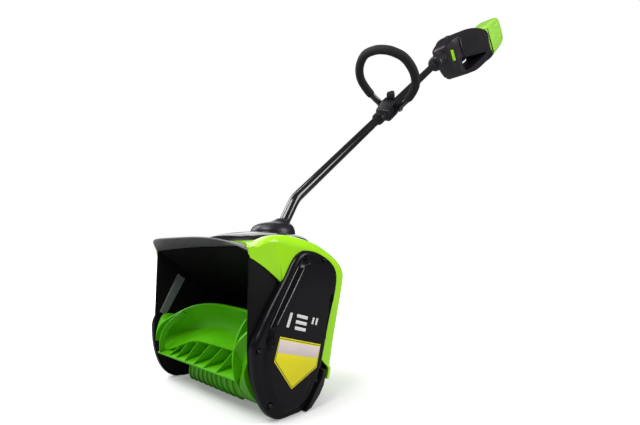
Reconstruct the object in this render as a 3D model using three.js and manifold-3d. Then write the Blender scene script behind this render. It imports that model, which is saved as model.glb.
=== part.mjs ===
// Battery snow shovel: a paddle-rotor head on a bent tube, with a loop handle and a rear grip.
// Millimetres, +X to the machine's left, +Y to its rear, +Z up. The origin is the middle of the
// scraper bar's underside, on the ground.
import * as THREE from "three";
import { mergeVertices } from "three/addons/utils/BufferGeometryUtils.js";
import Module from "manifold-3d";

const wasm = await Module();
wasm.setup();

// ---------------------------------------------------------------- driving dimensions
const SEAT = 0.3; // clearance between pieces that sit on each other
const RUN = 0.5; // radial clearance of a turning shaft

// Head. Y is measured from the side walls' front edge.
const CLEAR_WIDTH = 310; // across the outer faces of the two side walls
const WALL = 3; // plastic wall of the scoop
const AXLE_Y = 86;
const AXLE_Z = 89.5;
const ROTOR_RADIUS = 87.5;
const ROTOR_GAP = 6.5; // from the paddle tips to the chamber wall
const ROTOR_END_GAP = 4.5; // from the rotor's ends to the bearing bosses
const FOLD_DEPTH = 44; // how far the chamber's top edge bows to the rear
const FOLD_END_Z = 258;
const FOLD_RISE = 8;
const LIP_REACH = 47; // how far the lip's front edge bows forward
const LIP_TOP_Z = 281;
const LIP_DROP = 22;
const LIP_THICK = 2.6;
const SHROUD_WALL = 3;
const SHROUD_SIDE = 8; // from the side wall's outer face to the shroud's flank
const SHOULDER_ROUND = 22;
const SHOULDER_RISE = 7; // shoulder ridge above the middle of the shroud
const COVER_RIM = 15; // depth of the side cover's rim
const COVER_PLATEAU = 8; // how far the raised panel stands out of the rim
const COVER_WALL = 3.5;
const SCRAPER_THICK = 3;
const SCRAPER_DEPTH = 16;
const ORIGIN_Y = 113; // the scraper bar's middle
const HOOD_HALF = 90; // half width of the motor hood
const HOOD_WALL = 2.6;

// Rotor drive.
const AXLE_RADIUS = 6;
const BEARING_RADIUS = 13;
const BEARING_WIDTH = 8;
const MOTOR_Y = 124;
const MOTOR_Z = 231;
const MOTOR_RADIUS = 29;
const MOTOR_LENGTH = 88;
const MOTOR_SHAFT_RADIUS = 4;
const PULLEY_WIDTH = 7;
const SMALL_PULLEY = 9;
const LARGE_PULLEY = 36;
const BELT_THICK = 2.4;

// Tube and handles. Lengths along the tube start at its bend.
const TUBE_RADIUS = 12.25;
const TUBE_WALL = 1.6;
const BEND_Y = 242;
const BEND_Z = 379;
const BEND_RADIUS = 90;
const TUBE_TILT = 39.1; // degrees above the ground
const STUB_TILT = 59.7; // degrees above the ground, below the bend
const STUB_LENGTH = 160;
const SPLICE_AT = 450; // where the two tubes meet
const SPLICE_INSERT = 45; // how far the upper tube's neck goes into the lower one
const TUBE_END = 1075;
const DRAWN_TUBE_END = 1075; // the rear unit is drawn for a tube that ends here, and moves with it
const LOOP_AT = 526;
const LOOP_HEIGHT = 192;
const LOOP_ROLL = 22.5; // degrees the loop is turned round the tube
const LOOP_LEAN = 14; // degrees the loop leans towards the head
const GRIP_RADIUS = 12.6;
const LOOP_RADIUS = 9.5;
const GRIP_HALF_WIDTH = 48; // rear housing

// ---------------------------------------------------------------- materials
const materials = {
  blackPlastic: [0x232224, 0.55, 0],
  glossBlack: [0x141316, 0.15, 0],
  greyPlastic: [0x4a484b, 0.6, 0],
  limePlastic: [0x93dc1a, 0.3, 0],
  rotorGreen: [0x6fb41c, 0.45, 0],
  foam: [0x1c1b1d, 0.9, 0],
  steel: [0x9c9c9a, 0.35, 1],
  blackSteel: [0x17171a, 0.3, 0.6],
  rubber: [0x1a1a1a, 0.8, 0],
  brass: [0xb08d3c, 0.35, 1],
  board: [0x1f5a34, 0.6, 0],
};

function materialOf(key) {
  const [color, roughness, metalness] = materials[key];
  return new THREE.MeshStandardMaterial({ color, roughness, metalness });
}

// ---------------------------------------------------------------- solids
const rad = THREE.MathUtils.degToRad;
const X_AXIS = new THREE.Vector3(1, 0, 0);
const Y_AXIS = new THREE.Vector3(0, 1, 0);
const Z_AXIS = new THREE.Vector3(0, 0, 1);

function manifoldFrom(positions, indices) {
  return new wasm.Manifold(new wasm.Mesh({ numProp: 3, vertProperties: positions, triVerts: indices }));
}

// A closed geometry as a solid whose faces point out.
function solidOf(geometry) {
  const bare = new THREE.BufferGeometry();
  bare.setAttribute("position", geometry.getAttribute("position"));
  if (geometry.index) bare.setIndex(geometry.index);
  const merged = mergeVertices(bare, 1e-4);
  const positions = merged.attributes.position.array;
  const indices = Uint32Array.from(merged.index.array);
  const solid = manifoldFrom(positions, indices);
  return solid.volume() < 0 ? manifoldFrom(positions, indices.reverse()) : solid;
}

function geometryOf(solid) {
  const { vertProperties, triVerts } = solid.getMesh();
  const geometry = new THREE.BufferGeometry();
  geometry.setAttribute("position", new THREE.Float32BufferAttribute(vertProperties, 3));
  geometry.setIndex(Array.from(triVerts));
  geometry.computeVertexNormals();
  return geometry;
}

function piece(name, materialKey, solid) {
  const mesh = new THREE.Mesh(geometryOf(solid), materialOf(materialKey));
  mesh.name = name;
  return mesh;
}

// A closed outline of [a, b] points.
function outline(points) {
  return new THREE.Shape(points.map(([a, b]) => new THREE.Vector2(a, b)));
}

// A closed outline that runs smoothly through its points.
function smoothOutline(points, divisions) {
  const curve = new THREE.CatmullRomCurve3(
    points.map(([a, b]) => new THREE.Vector3(a, b, 0)),
    true,
    "centripetal",
  );
  return outline(curve.getPoints(divisions).slice(0, -1).map((p) => [p.x, p.y]));
}

// An outline of (a, b) points, extruded from c0 to c1, in a frame whose axes are a, b and c.
function prism(shape, c0, c1, round = 0) {
  const geometry = new THREE.ExtrudeGeometry(shape, {
    depth: c1 - c0 - 2 * round,
    bevelEnabled: round > 0,
    bevelThickness: round,
    bevelSize: round,
    bevelOffset: -round,
    bevelSegments: 2,
    curveSegments: 8,
  });
  geometry.translate(0, 0, c0 + round);
  return solidOf(geometry);
}

const headFrame = new THREE.Matrix4().makeBasis(Y_AXIS, Z_AXIS, X_AXIS);

// A (Y, Z) outline extruded along X.
function prismX(shape, x0, x1, round = 0) {
  return prism(shape, x0, x1, round).transform(headFrame.elements);
}

// A [radius, height] profile turned about an axis through a point.
function turned(profile, from, axis, segments = 20) {
  const points = profile.map(([r, h]) => new THREE.Vector2(r, h));
  const geometry = new THREE.LatheGeometry(points, segments);
  geometry.applyQuaternion(new THREE.Quaternion().setFromUnitVectors(Y_AXIS, axis));
  geometry.translate(...from);
  return solidOf(geometry);
}

function rod(radius, from, axis, length, segments = 20) {
  return turned([[0, 0], [radius, 0], [radius, length], [0, length]], from, axis, segments);
}

function ringOf(outer, inner, from, axis, length, segments = 20) {
  const profile = [[inner, 0], [outer, 0], [outer, length], [inner, length], [inner, 0]];
  return turned(profile, from, axis, segments);
}

function box(x0, x1, y0, y1, z0, z1) {
  const geometry = new THREE.BoxGeometry(x1 - x0, y1 - y0, z1 - z0);
  geometry.translate((x0 + x1) / 2, (y0 + y1) / 2, (z0 + z1) / 2);
  return solidOf(geometry);
}

// A solid through rings of [x, y, z] points, closed by flat ends.
function loft(rings) {
  const count = rings[0].length;
  const positions = rings.flat(2);
  const indices = [];
  for (let i = 0; i < rings.length - 1; i++) {
    for (let j = 0; j < count; j++) {
      const a = i * count + j;
      const b = i * count + ((j + 1) % count);
      indices.push(a, b, b + count, a, b + count, a + count);
    }
  }
  addCap(indices, rings[0], 0, true);
  addCap(indices, rings.at(-1), (rings.length - 1) * count, false);
  const geometry = new THREE.BufferGeometry();
  geometry.setAttribute("position", new THREE.Float32BufferAttribute(positions, 3));
  geometry.setIndex(indices);
  return solidOf(geometry);
}

function addCap(indices, ring, first, reversed) {
  const points = ring.map((p) => new THREE.Vector3(...p));
  const normal = new THREE.Vector3();
  points.forEach((p, i) => normal.add(p.clone().cross(points[(i + 1) % points.length])));
  normal.normalize();
  const turn = new THREE.Quaternion().setFromUnitVectors(normal, Z_AXIS);
  const flat = points.map((p) => p.clone().applyQuaternion(turn)).map((p) => new THREE.Vector2(p.x, p.y));
  for (const [a, b, c] of THREE.ShapeUtils.triangulateShape(flat, [])) {
    const turnsLeft = !THREE.ShapeUtils.isClockWise([flat[a], flat[b], flat[c]]);
    const corners = turnsLeft !== reversed ? [a, b, c] : [a, c, b];
    indices.push(...corners.map((k) => first + k));
  }
}

// A round bar, or a round pipe if it has a bore, along a curve.
function swept(curve, radius, steps, bore = 0, sides = 12) {
  const circle = (r) => Array.from({ length: sides }, (_, i) => (2 * Math.PI * i) / sides)
    .map((t) => [r * Math.cos(t), r * Math.sin(t)]);
  const shape = outline(circle(radius));
  if (bore > 0) shape.holes.push(outline(circle(bore)));
  return solidOf(new THREE.ExtrudeGeometry(shape, { steps, extrudePath: curve, bevelEnabled: false }));
}

const span = (from, to, count) => Array.from({ length: count + 1 }, (_,
  i) => from + ((to - from) * i) / count);
const blend = (a, b, t) => a.map((v, i) => v + (b[i] - v) * t);
// The largest body of a solid, without the slivers that a cut leaves.
const mainBody = (solid) => solid.decompose().sort((a, b) => b.volume() - a.volume())[0];
const joined = (...solids) => solids.reduce((a, b) => a.add(b));

// ---------------------------------------------------------------- head: shared shapes
const WALL_X = CLEAR_WIDTH / 2;
const CHAMBER_RADIUS = ROTOR_RADIUS + ROTOR_GAP;
const SHROUD_X = WALL_X + SHROUD_SIDE;
const COVER_X = WALL_X + 2;
const RIM_X = COVER_X + COVER_RIM;
const PANEL_X = RIM_X + COVER_PLATEAU;

// Where the chamber's back meets the lip, bowed to the rear and arched up.
function foldPoint(x) {
  const bow = 1 - (Math.abs(x) / WALL_X) ** 4;
  return [FOLD_DEPTH * bow, FOLD_END_Z + FOLD_RISE * bow];
}

// The chamber wall in (Y, Z) at one x, thickened outwards: a straight ramp, then an arc round the rotor.
function chamberPath(x, outward) {
  const [y, z] = foldPoint(x);
  const toFold = Math.atan2(z - AXLE_Z, y - AXLE_Y);
  const reach = Math.hypot(z - AXLE_Z, y - AXLE_Y);
  const touch = toFold - Math.acos(CHAMBER_RADIUS / reach);
  const floorAngle = -Math.asin((AXLE_Z - SCRAPER_THICK - SEAT) / CHAMBER_RADIUS);
  const normal = [Math.cos(touch), Math.sin(touch)];
  const start = [y + outward * normal[0], z + outward * normal[1]];
  const arc = span(touch, floorAngle, 10).map((t) => [
    AXLE_Y + (CHAMBER_RADIUS + outward) * Math.cos(t),
    Math.max(AXLE_Z + (CHAMBER_RADIUS + outward) * Math.sin(t), SCRAPER_THICK + SEAT),
  ]);
  return [start, blend(start, arc[0], 0.5), ...arc];
}

// The lip's front edge, bowed forward and arched.
function lipEdge(x) {
  const s = Math.abs(x) / WALL_X;
  return [0.4 - LIP_REACH * (1 - s ** 2.85), LIP_TOP_Z - LIP_DROP * s ** 4.9];
}

// The height of the lip's upper face above its fold, at one x and y.
function lipTop(x, y) {
  const [foldY, foldZ] = foldPoint(x);
  const [edgeY, edgeZ] = lipEdge(x);
  const low = foldZ + WALL + SEAT;
  const t = (foldY + 2 - y) / (foldY + 2 - edgeY);
  return low + (edgeZ - low) * t + LIP_THICK;
}

// The shroud's skin in (Y, Z) from its front edge over the top and down the back.
const shroudCrest = [[37, 282.5], [64, 286], [97, 285], [146, 275], [173, 264], [200, 250], [219, 236],
  [227, 222],
  [226, 205], [216, 163], [201, 107], [188, 56], [180, 27]];

// An open path drawn in by a distance, or by one that depends on the point's height.
function insetPath(points, distance) {
  return points.map(([a, b], i) => {
    const inset = typeof distance === "number" ? distance : distance(b);
    const before = points[Math.max(i - 1, 0)];
    const after = points[Math.min(i + 1, points.length - 1)];
    const run = Math.hypot(after[0] - before[0], after[1] - before[1]);
    return [a + (inset * (before[1] - after[1])) / -run, b - (inset * (after[0] - before[0])) / run];
  });
}

// How far the shroud's skin lies inside its crest: rounded shoulders, and a top that is
// shallow in the middle.
function shroudInset(x, z) {
  const across = Math.abs(x);
  const crestX = SHROUD_X - SHOULDER_ROUND;
  if (across > crestX) {
    const t = Math.min((across - crestX) / SHOULDER_ROUND, 1);
    return SHOULDER_ROUND * (1 - Math.sqrt(1 - t * t));
  }
  const middle = THREE.MathUtils.smoothstep(crestX - across, 0, crestX - HOOD_HALF);
  return SHOULDER_RISE * middle * THREE.MathUtils.smoothstep(z, 150, 230);
}

function shroudPath(x, extra = 0) {
  const near = Math.min(Math.abs(x), WALL_X);
  const frontY = foldPoint(near)[0] * 0.6 - 3;
  const front = [frontY, lipTop(near, frontY) + SEAT + SHROUD_WALL + 0.4];
  const path = insetPath([front, ...shroudCrest], extra);
  const top = insetPath([front, ...shroudCrest], (z) => shroudInset(x, z) + extra);
  return [path[0], ...top.slice(1)];
}

// The outline that both side covers share, in (Y, Z).
function coverOutline(grow = 0) {
  const front = new THREE.CubicBezierCurve(
    new THREE.Vector2(-grow, 112),
    new THREE.Vector2(-grow, 58 - grow),
    new THREE.Vector2(22 - grow, -grow),
    new THREE.Vector2(62, -grow),
  ).getPoints(7).map((p) => [p.x, p.y]);
  const back = [[100 + grow, -grow], [140 + grow, 47], [161 + grow, 113], [180 + grow, 171]];
  const crown = new THREE.CatmullRomCurve3(
    [[188, 198], [190, 214], [183, 231], [162, 247], [133, 257.5], [108, 260], [88, 252], [72, 229]].map(
      ([a, b]) => new THREE.Vector3(a + (grow * (a - 130)) / 62, b + grow * Math.sin((b - 190) / 70), 0),
    ),
  ).getPoints(11).map((p) => [p.x, p.y]);
  return outline([...front, ...back, ...crown, [40 - grow, 183], [13 - grow, 141]]);
}

// ---------------------------------------------------------------- head: the scoop
const boltPlaces = [[7.5, 111], [30, 29], [128, 44], [150, 243]];
const BOLT_RADIUS = 1.8;
const BOLT_HEAD = 3.4;
const BOLT_LENGTH = 15;

function bothSides(make) {
  return joined(make(1), make(-1));
}

// A disc-shaped hole or boss along X, on one side of the machine.
function across(side, radius, y, z, x0, x1, segments = 20) {
  const from = side > 0 ? x0 : -x1;
  return rod(radius, [from, y, z], X_AXIS, x1 - x0, segments);
}

function sidePlate(side) {
  const under = insetPath(shroudPath(WALL_X).slice(1), SHROUD_WALL + 2.5);
  const [, foldZ] = foldPoint(WALL_X);
  const front = coverOutline().getPoints(1).slice(0, 7).map((p) => [Math.max(p.x, 0), Math.max(p.y, 1)]);
  const shape = outline([...front, [104, 1], [150, 22], [172, 52], ...under.slice(1, -2).reverse(), [30,
    266], [1, foldZ]]);
  const x0 = side > 0 ? WALL_X - WALL : -WALL_X;
  return prismX(shape, x0, x0 + WALL);
}

function scoopShell() {
  const stations = [...span(-WALL_X + 0.5, -WALL_X + 55, 3), ...span(-WALL_X + 100, WALL_X - 100, 1),
    ...span(WALL_X - 55, WALL_X - 0.5, 3)];
  const back = loft(stations.map((x) => {
    const ring = [...chamberPath(x, 0), ...chamberPath(x, WALL).reverse()];
    return ring.map(([y, z]) => [x, y, z]);
  }));
  const plates = bothSides(sidePlate);
  const bosses = bothSides((side) => across(side, BEARING_RADIUS + 4, AXLE_Y, AXLE_Z,
    WALL_X - BEARING_WIDTH, WALL_X));
  const bores = bothSides((side) => across(side, BEARING_RADIUS + SEAT, AXLE_Y, AXLE_Z, WALL_X - 20,
    WALL_X + 5, 24));
  const shaftHole = across(1, MOTOR_SHAFT_RADIUS + 4, MOTOR_Y, MOTOR_Z, WALL_X - 10, WALL_X + 5);
  const boltHoles = boltPlaces.map(([y, z]) => bothSides((side) => across(side, BOLT_RADIUS + SEAT, y, z,
    WALL_X - 10, WALL_X + 5, 10)));
  return joined(back, plates, bosses).subtract(joined(bores, shaftHole, ...boltHoles));
}

// The dark lip over the mouth, between the side walls.
function lip() {
  const end = WALL_X - WALL / 2;
  return lipBody().trimByPlane([1, 0, 0], -end).trimByPlane([-1, 0, 0], -end);
}

// From the chamber's top edge to the bowed front edge.
function lipBody(grow = 0) {
  const half = [0.25, 0.5, 0.7, 0.82, 0.9, 0.95, 0.985, 1];
  const stations = [...half.map((s) => -s).reverse(), 0, ...half];
  return loft(stations.map((s) => {
    const x = s * WALL_X;
    const [foldY, foldZ] = foldPoint(x);
    const [edgeY, edgeZ] = lipEdge(x);
    const back = foldY + 2 + grow;
    const low = foldZ + WALL + SEAT;
    const top = LIP_THICK + grow;
    const ring = [[edgeY - grow, edgeZ - grow], [back, low - grow], [back, low + top],
      [edgeY + 0.4 - grow, edgeZ + top]];
    return ring.map(([y, z]) => [x, y, z]);
  }));
}

function wallStrip(side) {
  const shape = outline([[45, 212], [60, 201], [20, 128], [9, 137]]);
  const x1 = WALL_X - WALL - SEAT;
  return side > 0 ? prismX(shape, x1 - 4, x1) : prismX(shape, -x1, -x1 + 4);
}

function scraperBar() {
  const rearY = ORIGIN_Y + SCRAPER_DEPTH / 2;
  const shape = outline([[rearY - SCRAPER_DEPTH, 0], [rearY, 0], [rearY, SCRAPER_THICK],
    [rearY - SCRAPER_DEPTH, SCRAPER_THICK]]);
  return prismX(shape, -WALL_X + WALL + SEAT, WALL_X - WALL - SEAT);
}

function skid(side) {
  const shape = outline([[98, 0.4], [114, 4], [134, 20], [144, 33], [148, 44], [148, 58], [120, 58], [96,
    20]]);
  const body = side > 0 ? prismX(shape, COVER_X, RIM_X + 6, 2) : prismX(shape, -RIM_X - 6, -COVER_X, 2);
  const clear = side > 0 ? prismX(coverOutline(SEAT), COVER_X - 5,
    PANEL_X + 9) : prismX(coverOutline(SEAT), -PANEL_X - 9, -COVER_X + 5);
  return body.subtract(clear);
}

// ---------------------------------------------------------------- head: shroud, covers and hood
function shroud() {
  const ringAt = (x, thick) => {
    const outer = shroudPath(x);
    const inner = insetPath(outer, thick).reverse();
    return [...outer, ...inner].map(([y, z]) => [x, y, z]);
  };
  const crest = SHROUD_X - SHOULDER_ROUND;
  const half = [0, 50, HOOD_HALF, (HOOD_HALF + crest) / 2, crest, ...[0.35, 0.6,
    0.8].map((t) => crest + t * SHOULDER_ROUND)];
  const right = half.slice(1).map((x) => -x).reverse();
  const middle = loft([...right, ...half].map((x) => ringAt(x, SHROUD_WALL)));
  const flank = (side) => {
    const stations = [WALL_X + SEAT, WALL_X + 4, WALL_X + 6.5, SHROUD_X - 0.2].map((x) => side * x);
    return loft((side > 0 ? stations : stations.reverse()).map((x) => ringAt(x, 60)));
  };
  const covers = bothSides((side) => (side > 0 ? prismX(coverOutline(1), WALL_X - 0.1,
    PANEL_X + 20) : prismX(coverOutline(1), -PANEL_X - 20, -WALL_X + 0.1)));
  const below = prismX(outline([[-60, 309.7], [-2, 260], [67, 201], [150, 60], [150, -60], [-60, -60]]),
    -300, 300);
  const inside = prismX(outline([[-60, 309.7], [-2, 260], [67, 201], [150, 60], [150, -60], [-60, -60]]),
    -WALL_X - SEAT, WALL_X + SEAT);
  const flanks = bothSides(flank).subtract(joined(covers, below.subtract(inside)));
  return mainBody(joined(middle.subtract(covers), flanks).subtract(joined(sleeveRoom(), lipRoom())));
}

// The space that the lip and the scoop under it take out of the shroud's front edge.
function lipRoom() {
  const steps = span(0, 2, 2).map((i) => lipBody(SEAT).translate([0, 0, -i * 2.6]));
  return joined(...steps);
}

function sideCover(side) {
  const plateau = outline([[88, 226], [94, 236], [104, 242], [122, 239], [150, 225], [163, 211], [169,
    196], [163, 172], [150, 120],
    [134, 72], [119, 46], [100, 22], [72, 12], [45, 22], [24, 50], [17, 84], [20, 116], [30, 136]]);
  const rim = prismX(coverOutline(), COVER_X - 7, RIM_X + 1, 5).trimByPlane([1, 0, 0], COVER_X);
  const panel = prismX(plateau, RIM_X - 6, PANEL_X, 2.5);
  const cavity = prismX(insetShape(coverOutline(), COVER_WALL), COVER_X - 2, RIM_X + 1 - COVER_WALL);
  const panelCavity = prismX(insetShape(plateau, COVER_WALL), COVER_X - 2, PANEL_X - COVER_WALL);
  const posts = boltPlaces.map(([y, z]) => across(1, BOLT_RADIUS + 3, y, z, COVER_X, RIM_X - 1, 12));
  const holes = boltPlaces.map(([y, z]) => across(1, BOLT_RADIUS + SEAT, y, z, COVER_X - 5, PANEL_X + 5, 10));
  const shell = joined(rim, panel).subtract(joined(cavity, panelCavity));
  const solid = joined(shell, ...posts.map((post) => post.intersect(prismX(coverOutline(), 0,
    300)))).subtract(joined(...holes));
  return side > 0 ? solid : solid.mirror([1, 0, 0]);
}

// A shape drawn in by an even distance.
function insetShape(shape, distance) {
  const points = shape.getPoints(4).map((p) => [p.x, p.y]);
  const turn = THREE.ShapeUtils.isClockWise(points.map(([x, y]) => new THREE.Vector2(x, y))) ? -1 : 1;
  return outline(points.map(([a, b], i) => {
    const before = points[(i + points.length - 1) % points.length];
    const after = points[(i + 1) % points.length];
    const run = Math.hypot(after[0] - before[0], after[1] - before[1]);
    return [a - (turn * distance * (after[1] - before[1])) / run,
      b + (turn * distance * (after[0] - before[0])) / run];
  }));
}

const HOOD_FOOT_Z = 190;

// The glossy hood over the motor, standing on the shroud between its shoulders.
const hoodCrest = [[24, 283], [42, 289], [75, 295.5], [110, 299], [150, 300.5], [200, 298.5], [231, 292],
  [245, 277], [243, 252], [232, 222], [224, 196]];

function hoodBody(half, drop) {
  const crest = new THREE.SplineCurve(hoodCrest.map(([y, z]) => new THREE.Vector2(y, z)));
  const stations = [1, 0.97, 0.9, 0.78, 0.6, 0.3];
  const xs = [...stations.map((s) => -s * half), 0, ...stations.map((s) => s * half).reverse()];
  return loft(xs.map((x) => {
    const rise = (1 - (Math.abs(x) / half) ** 4) ** 0.5;
    const foot = shroudPath(x, -SEAT).filter(([, z]) => z > HOOD_FOOT_Z).map(([y,
      z]) => new THREE.Vector2(y, z));
    const last = foot.length - 1;
    const top = foot.map((p, i) => {
      const c = crest.getPoint(i / last);
      return [p.x + (c.x - p.x) * Math.max(rise, 0.06), p.y + (c.y - drop - p.y) * Math.max(rise, 0.06)];
    });
    return [...foot.map((p) => [p.x, p.y]), ...top.reverse()].map(([y, z]) => [x, y, z]);
  }));
}

// ---------------------------------------------------------------- tube and neck
const stubAxis = new THREE.Vector3(0, Math.cos(rad(STUB_TILT)), Math.sin(rad(STUB_TILT)));
const tubeAxis = new THREE.Vector3(0, Math.cos(rad(TUBE_TILT)), Math.sin(rad(TUBE_TILT)));
const bend = new THREE.Vector3(0, BEND_Y, BEND_Z);
const stubFoot = bend.clone().addScaledVector(stubAxis, -STUB_LENGTH);
const SLEEVE_RADIUS = TUBE_RADIUS + SEAT + 5;
const SLEEVE_LENGTH = 88;

function sleeveRoom() {
  return rod(SLEEVE_RADIUS + SEAT, stubFoot.toArray(), stubAxis, SLEEVE_LENGTH + 30, 24);
}

function motorHood() {
  const inner = hoodBody(HOOD_HALF - 3 - HOOD_WALL, HOOD_WALL + 0.8).translate([0, -0.5, 0]);
  const shell = hoodBody(HOOD_HALF - 3, 0).subtract(inner);
  return mainBody(shell.subtract(sleeveRoom()));
}

// The domed collar where the tube enters the head, with the sleeve that holds the tube below it.
function neck() {
  const rings = [[286, 183.5, 53, 42], [299, 183.5, 51, 40], [307, 185.5, 46, 35], [313, 188.5, 39, 29],
    [318, 193, 31, 23], [325, 203, 20, 17.5], [330, 208, 16, 15.5]];
  const dome = loft(rings.map(([z, y, a, b]) => span(0, 2 * Math.PI, 20).slice(0,
    -1).map((t) => [b * Math.cos(t), y + a * Math.sin(t), z])));
  const raised = hoodBody(HOOD_HALF - 3, 0).translate([0, 0, SEAT]);
  const sleeve = rod(SLEEVE_RADIUS, stubFoot.toArray(), stubAxis, SLEEVE_LENGTH, 24);
  const under = joined(raised, raised.translate([0, 0, -6]), raised.translate([0, 0, -12]));
  const bore = rod(TUBE_RADIUS + SEAT, stubFoot.clone().addScaledVector(stubAxis, -5).toArray(), stubAxis,
    160, 24);
  return joined(dome.subtract(under), sleeve).subtract(bore);
}

// The beam between the side plates that carries the foot of the sleeve.
function crossMember() {
  const end = WALL_X - WALL - SEAT;
  const foot = stubFoot.toArray();
  const front = MOTOR_Y + MOTOR_RADIUS + 1.5;
  const beam = box(-end, end, front, front + 28, foot[2] - 19, foot[2] - 1);
  const cup = rod(SLEEVE_RADIUS + 4, stubFoot.clone().addScaledVector(stubAxis, -12).toArray(), stubAxis,
    16, 24);
  const seat = rod(SLEEVE_RADIUS + SEAT, stubFoot.clone().addScaledVector(stubAxis, -SEAT).toArray(),
    stubAxis, 60, 24);
  return joined(beam, cup).subtract(seat);
}

const bendRun = BEND_RADIUS * Math.tan(rad((STUB_TILT - TUBE_TILT) / 2));

const TUBE_SIDES = 12;

function lowerTube() {
  const path = new THREE.CurvePath();
  const enter = bend.clone().addScaledVector(stubAxis, -bendRun);
  const leave = bend.clone().addScaledVector(tubeAxis, bendRun);
  path.add(new THREE.LineCurve3(stubFoot, enter));
  path.add(new THREE.QuadraticBezierCurve3(enter, bend, leave));
  path.add(new THREE.LineCurve3(leave, bend.clone().addScaledVector(tubeAxis, SPLICE_AT)));
  return swept(path, TUBE_RADIUS, 17, TUBE_RADIUS - TUBE_WALL, TUBE_SIDES);
}

// ---------------------------------------------------------------- rotor and its drive
const ROTOR_END = WALL_X - BEARING_WIDTH - ROTOR_END_GAP;
const HUB_RADIUS = 20;
const DISC_X = ROTOR_END - 25.5;
const DISC_THICK = 3;
const LIP_ANGLE = 56; // of the paddle's lip at mid-width, up from straight ahead
const HEEL_ANGLE = -20; // of the edge where the other paddle's back ends
const MIDDLE_X = 8;

const GROOVE_WIDTH = 28;
const GROOVE_COUNT = 6;
const GROOVE_PITCH = (2 * (DISC_X - 18)) / GROOVE_COUNT;
const FIRST_GROOVE = 22 - DISC_X;
const TIP_X = ROTOR_END - 12.5; // where the paddle's far end starts to fall away
const grooveStarts = span(0, GROOVE_COUNT - 1, GROOVE_COUNT - 1).map((i) => FIRST_GROOVE + i * GROOVE_PITCH);

// Angles of a paddle's lip and of the step under its face, at one x.
function paddleAngles(x) {
  if (x > DISC_X) {
    const lipAngle = 12 + 0.8 * (x - DISC_X);
    return [lipAngle, lipAngle - 24];
  }
  const away = (x - MIDDLE_X) / (DISC_X - 1);
  if (x > MIDDLE_X) return [LIP_ANGLE - 4 * away ** 2, 11.5];
  const tip = Math.max((-x - TIP_X) / 13, 0);
  return [LIP_ANGLE - 28 * away ** 2 - 30 * tip ** 2, 11.5 - 25 * away ** 2];
}

// One paddle's half of the rotor's section: step, hollow face, lip, and the back as far as the heel.
function paddleHalf(x, turn) {
  const [lipAngle, stepAngle] = paddleAngles(x);
  const depth = (50 * (lipAngle - stepAngle)) / (LIP_ANGLE - 11.5);
  const face = span(0, 1, 6).map((t) => [ROTOR_RADIUS - 6 + 6 * t - depth * Math.sin(Math.PI * t) ** 0.8,
    stepAngle + (lipAngle - stepAngle) * t]);
  const back = span(lipAngle + 3, 180 + HEEL_ANGLE, 7).map((a) => [ROTOR_RADIUS - 0.5, a]);
  const recess = [[ROTOR_RADIUS - 22, 180 + HEEL_ANGLE + 3], [ROTOR_RADIUS - 24, 180 + stepAngle - 2]];
  return [...face, ...back, ...recess].map(([r, a]) => {
    const t = rad(a + turn);
    return [x, AXLE_Y - r * Math.cos(t), AXLE_Z + r * Math.sin(t)];
  });
}

function rotor() {
  const ring = (x) => [...paddleHalf(x, 0), ...paddleHalf(x, 180)];
  const body = loft([-ROTOR_END, -ROTOR_END + 4.5, -TIP_X, 18 - TIP_X, 50 - TIP_X, 90 - TIP_X, MIDDLE_X,
    DISC_X].map(ring));
  const end = loft([DISC_X + 0.1, ROTOR_END].map(ring));
  const sector = (turn) => {
    const shape = new THREE.Shape();
    shape.moveTo(AXLE_Y, AXLE_Z);
    shape.absarc(AXLE_Y, AXLE_Z, ROTOR_RADIUS, rad(180 - 42 + turn), rad(200 + turn), false);
    return prismX(shape, DISC_X - 1, DISC_X - 1 + DISC_THICK);
  };
  const groove = (x, turn) => {
    const arc = (r, from, to, steps) => span(from, to,
      steps).map((a) => [AXLE_Y - r * Math.cos(rad(a + turn)), AXLE_Z + r * Math.sin(rad(a + turn))]);
    const from = paddleAngles(Math.min(x, DISC_X - 1))[0] + 14;
    return prismX(outline([...arc(ROTOR_RADIUS + 4, from, 153, 5), ...arc(34, 128, from + 22, 3)]), x,
      x + GROOVE_WIDTH);
  };
  const grooves = grooveStarts.flatMap((x) => [groove(x, 0), groove(x, 180)]);
  const hub = rod(HUB_RADIUS, [-ROTOR_END, AXLE_Y, AXLE_Z], X_AXIS, 2 * ROTOR_END, 24);
  const bore = rod(AXLE_RADIUS + SEAT, [-200, AXLE_Y, AXLE_Z], X_AXIS, 400, 24);
  return joined(joined(body, end).subtract(joined(...grooves)), sector(0), sector(180), hub).subtract(bore);
}

const PULLEY_X = COVER_X + 2.5;
const AXLE_START = -WALL_X - 1;
const AXLE_END = PULLEY_X + PULLEY_WIDTH + 2;
const IDLER_Y = 84;
const IDLER_Z = 170;
const IDLER_RADIUS = 8;

function rotorAxle() {
  return rod(AXLE_RADIUS, [AXLE_START, AXLE_Y, AXLE_Z], X_AXIS, AXLE_END - AXLE_START, 24);
}

function bearing(side) {
  const x0 = side > 0 ? WALL_X - BEARING_WIDTH : -WALL_X;
  return ringOf(BEARING_RADIUS, AXLE_RADIUS + SEAT, [x0, AXLE_Y, AXLE_Z], X_AXIS, BEARING_WIDTH, 24);
}

// A flanged pulley on the X axis.
function pulley(radius, bore, y, z) {
  const w = PULLEY_WIDTH;
  const profile = [[bore, 0], [radius + 2, 0], [radius + 2, 0.8], [radius, 1], [radius, w - 1],
    [radius + 2, w - 0.8], [radius + 2, w], [bore, w], [bore, 0]];
  return turned(profile, [PULLEY_X, y, z], X_AXIS, 28);
}

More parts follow.
